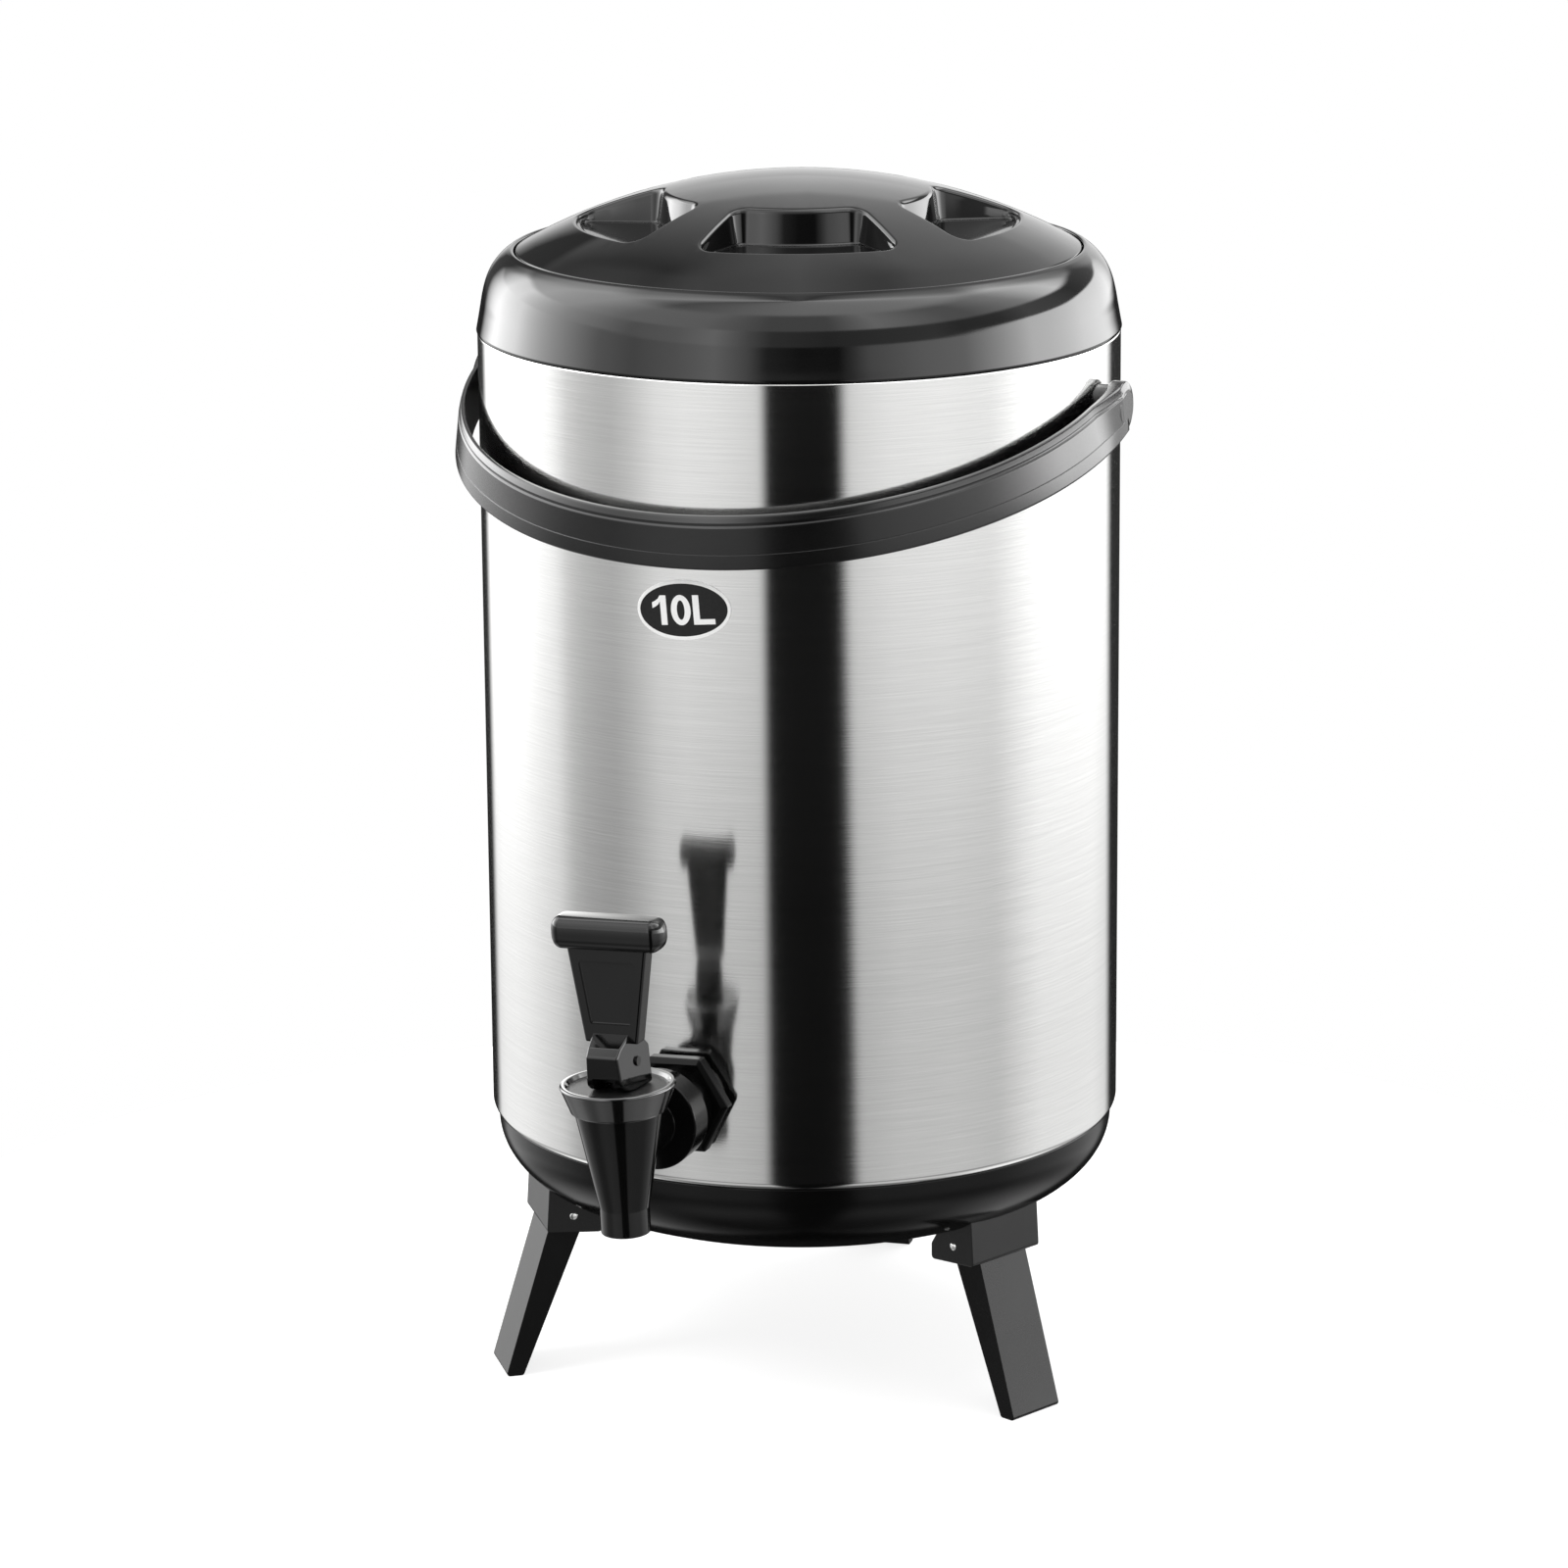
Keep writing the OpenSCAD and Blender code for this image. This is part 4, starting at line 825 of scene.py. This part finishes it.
def on_drum(s, t, rise):
    """A place on the drum, s to the right of the slanted badge's middle and t above it."""
    aside = s * cos(badge_slant) - t * sin(badge_slant)
    higher = s * sin(badge_slant) + t * cos(badge_slant)
    a, r = radians(badge_turn) + aside / shell_r, shell_r + rise
    return Vector((r * sin(a), -r * cos(a), badge_z + higher))


def oval(wide, high, rise):
    return [bm.verts.new(on_drum(wide * cos(a), high * sin(a), rise))
            for a in whole_turn(96)]


bm = bmesh.new()
border = [oval(badge_half_w, badge_half_h, badge_gap),
          oval(badge_half_w, badge_half_h, badge_t - badge_bevel),
          oval(badge_half_w - badge_bevel, badge_half_h - badge_bevel, badge_t)]
fields = [(field_half_w * share, field_half_h * share) for share in (1.0, 0.8, 0.6, 0.4, 0.2)]
front = [oval(*half, badge_t) for half in fields]
back = [oval(*half, badge_gap) for half in fields[::-1]]
for face in skin(bm, border + front[:1]):
    face.material_index = 1
skin(bm, front)
skin(bm, back + border[:1])
for middle in (front[-1], back[0]):
    bm.faces.new(middle)


def mark_into(outline_low, outline_high):
    """Adds a raised strip of print between two rows of (s, t) points."""
    rows = [[bm.verts.new(on_drum(s, t, rise)) for s, t in row]
            for row, rise in ((outline_low, badge_t - 0.02), (outline_low, badge_t + print_t),
                              (outline_high, badge_t + print_t), (outline_high, badge_t - 0.02))]
    for low, high in zip(rows, rows[1:] + rows[:1]):
        for a, b, c, d in zip(low, low[1:], high[1:], high):
            bm.faces.new([a, b, c, d]).material_index = 1
    for end in (0, -1):
        bm.faces.new([row[end] for row in rows]).material_index = 1


def bar(s0, s1, t0, t1):
    steps = [s0 + (s1 - s0) * k / 6 for k in range(7)]
    mark_into([(s, t0) for s in steps], [(s, t1) for s in steps])


half_mark, stroke = 5.85, 2.6
bar(-9.35, -9.35 + stroke, -half_mark, half_mark)
flag = [(-9.3, half_mark), (-10.2, half_mark - 1.3), (-11.3, half_mark - 2.1), (-12.8, half_mark - 2.8)]
mark_into([(s, t - 2.3) for s, t in flag], flag)
nought = [2 * pi * k / 48 for k in range(49)]
mark_into([(-0.8 + 1.6 * cos(a), (half_mark - 2.0) * sin(a)) for a in nought],
          [(-0.8 + 4.1 * cos(a), (half_mark + 0.15) * sin(a)) for a in nought])
bar(4.3, 4.3 + stroke, -half_mark, half_mark)
bar(4.3 + stroke, 13.0, -half_mark, -half_mark + 2.1)
badge = solid(
    "capacity_label", bm, printed("label_black", (0.004,) * 3, (0.008,) * 3),
    printed("label_white", (0.9, 0.9, 0.89), (0.95, 0.95, 0.94)))
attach(badge, "body")
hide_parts("capacity_badge")

# ---- Tap body ----
# One black gloss moulding: the tapered spout with its straight nozzle, the collared shank behind
# it, which passes through the drum, and a neck above for the bonnet.

tap_y, tap_z, tap_slant = -193.0, 143.5, -2.5
tap_place = Matrix.Translation((0, tap_y, tap_z)) @ Matrix.Rotation(radians(tap_slant), 4, "Y")
nozzle_r, outlet_r, nozzle_low = 9.75, 7.0, -35.2
cone_low, cone_top, cone_top_r = -24.7, 14.4, 17.5
tap_neck_r, tap_neck_top, chamber_r, chamber_low = 16.8, 20.4, 11.0, -8.0
shank_r, shank_in_r, shank_start, shank_end = 10.0, 6.0, 11.0, 99.0
flange_r, flange_start, flange_end, barrel_r, nut_start = 19.0, 29.5, 42.5, 15.5, 54.5
tap_black = moulded_black("tap_black_moulding", 0.002, 0.004, (0.07, 0.11), 0.02, 0.46)
shank_black = moulded_black("shank_black_moulding", 0.002, 0.004, (0.1, 0.15), 0.03, 0.15)
spout_profile = rounded([
    (outlet_r, nozzle_low, 0.5), (nozzle_r, nozzle_low, 0.9), (nozzle_r, cone_low, 1.5),
    (cone_top_r, cone_top, 0.5), (tap_neck_r, cone_top, 0), (tap_neck_r, tap_neck_top, 0.4),
    (chamber_r, tap_neck_top, 0.3), (chamber_r, chamber_low, 0), (outlet_r, chamber_low, 0.4)])
shank_profile = rounded([
    (shank_in_r, shank_start, 0), (shank_r, shank_start, 0), (shank_r, flange_start, 0.6),
    (flange_r, flange_start, 0.7), (flange_r, flange_end, 0.9), (barrel_r, flange_end, 0.6),
    (barrel_r, nut_start, 0.4), (shank_r, nut_start, 0), (shank_r, shank_end, 0.6),
    (shank_in_r, shank_end, 0.6)])
shank_place = tap_place @ Matrix.Rotation(-pi / 2, 4, "X")
bm = bmesh.new()
turn_into(bm, spout_profile, whole_turn(96), tap_place)
turn_into(bm, shank_profile, whole_turn(96), shank_place)
spout = solid("tap_spout", bm, tap_black, shank_black)
for face in spout.data.polygons:
    face.material_index = 1 if (tap_place.inverted() @ (face.center / mm)).y > cone_top_r else 0
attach(spout, "body")
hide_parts("tap_body")

# ---- Tap nuts and washers ----
# A six-sided plastic nut on the shank clamps the drum's wall against a second nut inside the
# tank, with a soft washer under each.

nut_r, nut_end = 22.0, 60.5
nut_turns = [radians(60 * k) for k in range(6)]
nut_outline = [(nut_r * cos(a), nut_r * sin(a), 1.2) for a in nut_turns]
bm = bmesh.new()
nut_layers = [(9.0, nut_start), (2.4, nut_start), (1.9, nut_start + 0.12), (0.3, nut_start + 1.2),
              (0.0, nut_start + 1.7), (0.0, nut_end - 0.5), (0.4, nut_end)]
slab_into(bm, [(drawn_in(nut_outline, inset), depth) for inset, depth in nut_layers], shank_place)
nut = solid("tap_clamp_nut", bm, shank_black, sharp=24.0)
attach(nut, "body")
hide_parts("tap_nut")
dark_rubber = speckled(
    "dark_washer_rubber", (0.02,) * 3, (0.035,) * 3, 700.0, (0.5, 0.65), 0.08, 0.35)
refinish(dark_rubber, "tap_outer_washer")
refinish(pale_silicone, "tap_inner_washer", "tap_seat_cup")
refinish(satin_black, "tap_inner_nut", "tap_stem")
refinish(bright_steel, "tap_spring")
refinish(tap_black, "tap_lever_pin")

# ---- Tap bonnet ----
# A screwed black cap over the spout's neck. Its sides flare to a round lip around a shallow
# dish, and the stem passes through a hole in the dish.

bonnet_low, bonnet_low_r, bonnet_r, bonnet_top, dish_z = 14.55, 18.8, 22.59, 25.6, 23.6
bonnet_in_r, stem_hole_r, bonnet_roof = 16.95, 3.25, tap_neck_top + 0.02
bonnet_profile = rounded([
    (bonnet_in_r, bonnet_low, 0.2), (bonnet_low_r, bonnet_low, 0.7),
    (bonnet_r - 0.25, bonnet_top - 1.8, 0.8), (bonnet_r, bonnet_top - 1.2, 0.5),
    (bonnet_r, bonnet_top, 1.0), (bonnet_r - 1.9, bonnet_top, 0.8), (bonnet_r - 3.4, dish_z, 1.2),
    (5.4, dish_z, 0.8), (4.6, dish_z + 0.3, 0.3), (stem_hole_r, dish_z + 0.3, 0.2),
    (stem_hole_r, bonnet_roof, 0), (bonnet_in_r, bonnet_roof, 0)])
bonnet_black = moulded_black("bonnet_black_moulding", 0.003, 0.006, (0.07, 0.11), 0.02, 1.0)
bonnet = turned("tap_bonnet_cap", bonnet_profile, bonnet_black, sides=128, places=[tap_place])
bonnet.data.materials.append(moulded_black(
    "etched_black_moulding", 0.006, 0.012, (0.42, 0.55), 0.1, 0.4))
for face in bonnet.data.polygons:
    spot = tap_place.inverted() @ (face.center / mm)
    face.material_index = 1 if spot.z > dish_z - 0.5 and spot.xy.length < bonnet_r - 3.0 else 0
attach(bonnet, "body")
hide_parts("tap_bonnet")

# ---- Tap lever ----
# A T-shaped black moulding: a block with a cam foot, slotted for the stem's tongue and turning
# on its pin, a tapered paddle with a sunk panel on each side, and a round grip bar across its top.

lever_pin_z = 34.6
lever_place = tap_place @ Matrix.Translation((0, 0, lever_pin_z))
foot_half_w, foot_back, foot_top, foot_slope, foot_lean = 9.45, 9.5, 7.5, 3.0, 1.5
foot_width, foot_front_taper, foot_top_taper = 0.94, 0.016, 0.006
cam_r, cam_rise = 10.7, 4.0
paddle_half_t, paddle_root, paddle_low_w, paddle_high_w, paddle_high = 4.0, 4.0, 11.0, 17.0, 47.4
panel_low, panel_low_w, panel_high, panel_high_w, panel_depth = 14.6, 8.5, 40.0, 12.3, 1.2
grip_r, grip_h, grip_half, grip_square = 6.75, 50.8, 23.5, 0.62
slot_half, slot_reach, tongue_room, tongue_top = 4.8, 60.0, 6.8, 5.0
front_wall, front_wall_low = 10.8, -4.4


def cam_point(tilt):
    """A point of the cam's curve under the toe, which lifts the stem as the lever tilts."""
    a = radians(tilt)
    reach = cam_r + cam_rise * a
    return (reach * sin(a) + cam_rise * cos(a), -reach * cos(a) + cam_rise * sin(a))


cam = [cam_point(45 * k / 8) for k in range(9)]
toe = cam[-1][0]
foot_outline = [(-foot_back, -cam_r, 1.4)] + [(x, y, 0) for x, y in cam] + [
    (toe + foot_lean, foot_top - foot_slope, 1.6), (toe - foot_slope + foot_lean, foot_top, 1.6),
    (paddle_half_t, foot_top + paddle_root, 1.2),
    (-paddle_half_t, foot_top + paddle_root, 1.2), (foot_slope - foot_back, foot_top, 1.6),
    (-foot_back, foot_top - foot_slope, 1.6)]
lever_upright = lever_place @ Matrix(((0, 0, 1, 0), (-1, 0, 0, 0), (0, 1, 0, 0), (0, 0, 0, 1)))
bm = bmesh.new()
slab_into(bm, round_edges(foot_outline, foot_half_w, 1.0))
for vert in bm.verts:
    vert.co.z *= foot_width - foot_front_taper * vert.co.x - foot_top_taper * vert.co.y
    vert.co = lever_upright @ vert.co
foot = solid("lever_foot", bm, tap_black)
bm = bmesh.new()
slot_outline = [(slot_reach, front_wall_low, 0), (slot_reach, -slot_reach, 0),
                (-tongue_room, -slot_reach, 0)]
slot_turns = [radians(a) for a in range(0, 133, 6)]
slot_outline += [(-tongue_room * cos(a), tongue_room * sin(a), 0) for a in slot_turns]
slot_outline += [(front_wall, tongue_top, 0), (front_wall, front_wall_low, 0)]
slab_into(bm, [(slot_outline, -slot_half), (slot_outline, slot_half)], lever_upright)
foot = carved(foot, solid("tongue_room", bm))
bm = bmesh.new()
bm.from_mesh(foot.data)
bpy.data.objects.remove(foot)
for vert in bm.verts:
    vert.co /= mm
paddle_outline = [(-paddle_low_w, foot_top, 0.8), (paddle_low_w, foot_top, 0.8),
                  (paddle_high_w, paddle_high, 0.8), (-paddle_high_w, paddle_high, 0.8)]
panel_outline = [(-panel_low_w, panel_low, 1.0), (panel_low_w, panel_low, 1.0),
                 (panel_high_w, panel_high, 1.0), (-panel_high_w, panel_high, 1.0)]
paddle_side = [(drawn_in(panel_outline, inset), paddle_half_t - drop) for inset, drop in (
    (0.9, panel_depth), (0.5, panel_depth - 0.1), (0.1, 0.15), (-0.25, 0.0))]
paddle_side += [(drawn_in(paddle_outline, inset), paddle_half_t - drop) for inset, drop in (
    (1.1, 0.0), (0.5, 0.2), (0.12, 0.7), (0.0, 1.3))]
slab_into(bm, [(drawn, -depth) for drawn, depth in paddle_side] + paddle_side[::-1],
          lever_place @ Matrix.Rotation(pi / 2, 4, "X"))
grip_section = [radians(5 * k) for k in range(72)]
grip_end = grip_r * 0.75
grip_ends = [(max(0.02, cos(a)), grip_half - grip_end * (1 - sin(a)))
             for a in (radians(90 - 9 * k) for k in range(11))]
grip_rings = [(share, -x) for share, x in grip_ends] + [(share, x) for share, x in grip_ends[::-1]]
grip_outline = [[copysign(abs(part) ** grip_square, part) for part in (cos(a), sin(a))]
                for a in grip_section]
rings = [[bm.verts.new(lever_place @ Vector((x, grip_r * share * u, grip_h + grip_r * share * v)))
          for u, v in grip_outline] for share, x in grip_rings]
skin(bm, rings)
bm.faces.new(rings[0])
bm.faces.new(rings[-1])
lever = solid("tap_lever_moulding", bm, tap_black)
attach(lever, "lever")
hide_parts("tap_lever")

# ---- Studio ----
# A small white table, a white surround, soft boxes left and right, grey cards between them and
# a black flag behind the camera, which the steel mirrors as upright bands.

camera_turn = 21.5
table_r, table_t = 450.0, 20.0
bm = bmesh.new()
turn_into(bm, [(0.0, -table_t), (table_r, -table_t), (table_r, 0.0), (0.0, 0.0)], whole_turn(96))
finish = Finish("white_table")
seen = finish.node("LightPath", output="Is Camera Ray")
paper = finish.grain((60.0,) * 3)
board = finish.node("BsdfDiffuse", None, {
    "Color": finish.between(paper, (0.49,) * 3, (0.5,) * 3)})
glow = finish.node("Emission", None, {"Color": (1, 1, 1, 1), "Strength": seen * 0.81})
lit = finish.node("AddShader", None, {0: board, 1: glow})
finish.node("OutputMaterial", None, {"Surface": lit})
table = solid("table", bm, finish.owner)
table.visible_glossy = False

world = bpy.data.worlds.new("studio")
bpy.context.scene.world = world
finish = Finish("studio", world)
toward = finish.node("TexCoord", output="Generated")
toward = finish.node("Mapping", None, {
    "Vector": toward, "Rotation": (0, 0, radians(-camera_turn))})
across, along, up = (
    finish.node("SeparateXYZ", None, {"Vector": toward}, output=axis) for axis in "XYZ")
turn = across.math("ARCTAN2", across, along * -1) * (0.5 / pi) + 0.5

low_plan = [
    (-180, 0.03), (-157, 0.03), (-150, 1.5), (-142, 1.65), (-130, 1.65), (-120, 1.55), (-110, 1.35),
    (-99, 1.12), (-91, 0.74), (-84, 0.6), (-76, 0.53), (-70, 0.52), (-63, 0.62), (-52, 0.86),
    (-42, 0.92), (-26, 0.84), (-14.2, 0.77), (-11.4, 0.003), (13.2, 0.003), (16.2, 0.78), (32, 0.92),
    (52, 0.96), (71, 0.91), (77, 1.03), (83, 1.18), (92, 1.38), (104, 1.45), (122, 1.5), (129, 1.5),
    (142, 1.3), (149, 0.03), (180, 0.03)]
ring_plan = [
    (-180, 1.0), (-172, 0.9), (-166, 0.1), (-157, 0.12), (-150, 2.0), (-138, 6.0), (-120, 7.2),
    (-104, 5.0), (-91, 3.5), (-76, 1.7), (-61, 1.2), (-45, 1.7), (-30, 2.4), (-18, 1.2), (-12, 0.2),
    (0, 0.03), (14, 0.03), (19, 0.5), (25, 1.3), (45, 2.2), (61, 2.6), (75, 5.0), (91, 8.0), (121, 6.4),
    (140, 4.0), (152, 3.0), (162, 1.2), (180, 1.0)]
mid_plan = [
    (-180, 1.2), (-172, 0.9), (-166, 0.08), (-157, 0.12), (-151, 0.9), (-139, 5.2), (-126, 6.9),
    (-96, 4.0), (-64, 1.6), (-45, 2.0), (-31, 2.8), (-18, 1.2), (-10, 0.5), (10, 0.3), (31, 0.5),
    (50, 0.6), (62, 0.38), (80, 0.45), (94, 0.9), (110, 0.6), (126, 0.25), (150, 0.3), (157, 0.9),
    (166, 1.1), (180, 1.2)]
high_plan = [
    (-180, 0.9), (-165, 0.45), (-157, 0.18), (-150, 0.5), (-139, 2.5), (-122, 4.5), (-100, 4.5),
    (-71, 2.4), (-37, 2.3), (-12, 1.1), (12, 1.1), (30, 2.9), (40, 2.5), (60, 1.6), (71, 1.5),
    (100, 3.2), (115, 6.0), (124, 6.5), (139, 2.0), (150, 0.7), (160, 0.9), (180, 0.9)]
top_plan = [
    (-180, 0.9), (-160, 0.6), (-140, 1.0), (-120, 3.0), (-102, 4.0), (-73, 1.2), (-33, 2.2), (0, 2.8),
    (32, 3.0), (72, 3.4), (102, 4.6), (130, 1.5), (160, 0.5), (180, 0.9)]
rise_plan = [
    (-1.0, 0.06), (-0.93, 0.2), (-0.84, 0.6), (-0.76, 0.75), (-0.67, 0.55), (-0.58, 0.3), (-0.5, 0.3),
    (-0.4, 0.6), (-0.32, 0.6), (-0.29, 0.565), (-0.27, 0.62), (-0.25, 0.71), (-0.22, 0.89),
    (-0.18, 1.0), (1.0, 1.0)]
brightest = 8.0


def around(plan, lean=0.0):
    """The studio's brightness all round, from (angle, level) stops."""
    steps = [((angle + 180) / 360, level / brightest) for angle, level in plan]
    return finish.node("ValToRGB", {"stops": steps}, {"Fac": turn - lean})


flag_lean = finish.node("MapRange", None, {
    "Value": up, "From Min": -0.18, "From Max": -0.31, "To Min": 0.0, "To Max": 4.5 / 360})
flag_lean = flag_lean * finish.node("MapRange", None, {
    "Value": turn, "From Min": 0.5, "From Max": 0.52})


def above(start, end, below, over):
    """A blend from one band of the studio to the next, between two heights."""
    share = finish.node("MapRange", {"interpolation_type": "SMOOTHSTEP"}, {
        "Value": up, "From Min": sin(radians(start)),
        "From Max": sin(radians(end))})
    return finish.node("Mix", {"data_type": "RGBA"}, {0: share, 6: below, 7: over}, output=2)


studio = around(low_plan, flag_lean)
for start, end, plan in ((-7, -3, ring_plan), (10.5, 12.5, mid_plan), (24, 28, high_plan),
                         (50, 60, top_plan)):
    studio = above(start, end, studio, around(plan))
rise_stops = [((height + 1) / 2, share) for height, share in rise_plan]
strength = finish.node("ValToRGB", {"stops": rise_stops}, {"Fac": up * 0.5 + 0.5})
strength = finish.node("RGBToBW", None, {"Color": strength}) * brightest
seen, mirrored, through = (finish.node("LightPath", output="Is " + kind + " Ray")
                           for kind in ("Camera", "Glossy", "Transmission"))
walls = finish.node("Background", None, {"Color": (0.7, 0.7, 0.7, 1), "Strength": 1.0})
boxes = finish.node("Background", None, {"Color": studio, "Strength": strength})
white = finish.node("Background", None, {"Color": (1, 1, 1, 1), "Strength": 1.0})
lit = finish.node("MixShader", None, {0: mirrored, 1: walls, 2: boxes})
clear = seen.math("MAXIMUM", seen, through)
shown = finish.node("MixShader", None, {0: clear, 1: lit, 2: white})
finish.node("OutputWorld", None, {"Surface": shown})


def soft_box(name, place, aim, size, power):
    lamp = bpy.data.lights.new(name, "AREA")
    lamp.shape, lamp.size, lamp.energy = "DISK", size, power
    box = bpy.data.objects.new(name, lamp)
    box.location = place
    box.rotation_euler = (Vector(aim) - Vector(place)).to_track_quat("-Z", "Y").to_euler()
    box.visible_glossy = False
    bpy.context.scene.collection.objects.link(box)


soft_box("key_box", (-1.2, -1.3, 1.9), (0, 0, 0.25), 1.2, 26.0)
soft_box("top_box", (0.5, 0.3, 2.4), (0, 0, 0.2), 1.6, 22.0)

camera = bpy.data.objects.new("camera", bpy.data.cameras.new("camera"))
camera.location = (0.85023, -2.14484, 0.83358)
look, roll = Vector((-0.3599, 0.89924, -0.24868)), radians(0.47)
aim = look.to_track_quat("-Z", "Y").to_matrix() @ Matrix.Rotation(-roll, 3, "Z")
camera.rotation_euler = aim.to_euler()
camera.data.sensor_width, camera.data.lens = 36.0, 132.528
camera.data.clip_start, camera.data.clip_end = 0.05, 50.0
bpy.context.scene.collection.objects.link(camera)
bpy.context.scene.camera = camera
bpy.context.scene.view_settings.view_transform = "Standard"
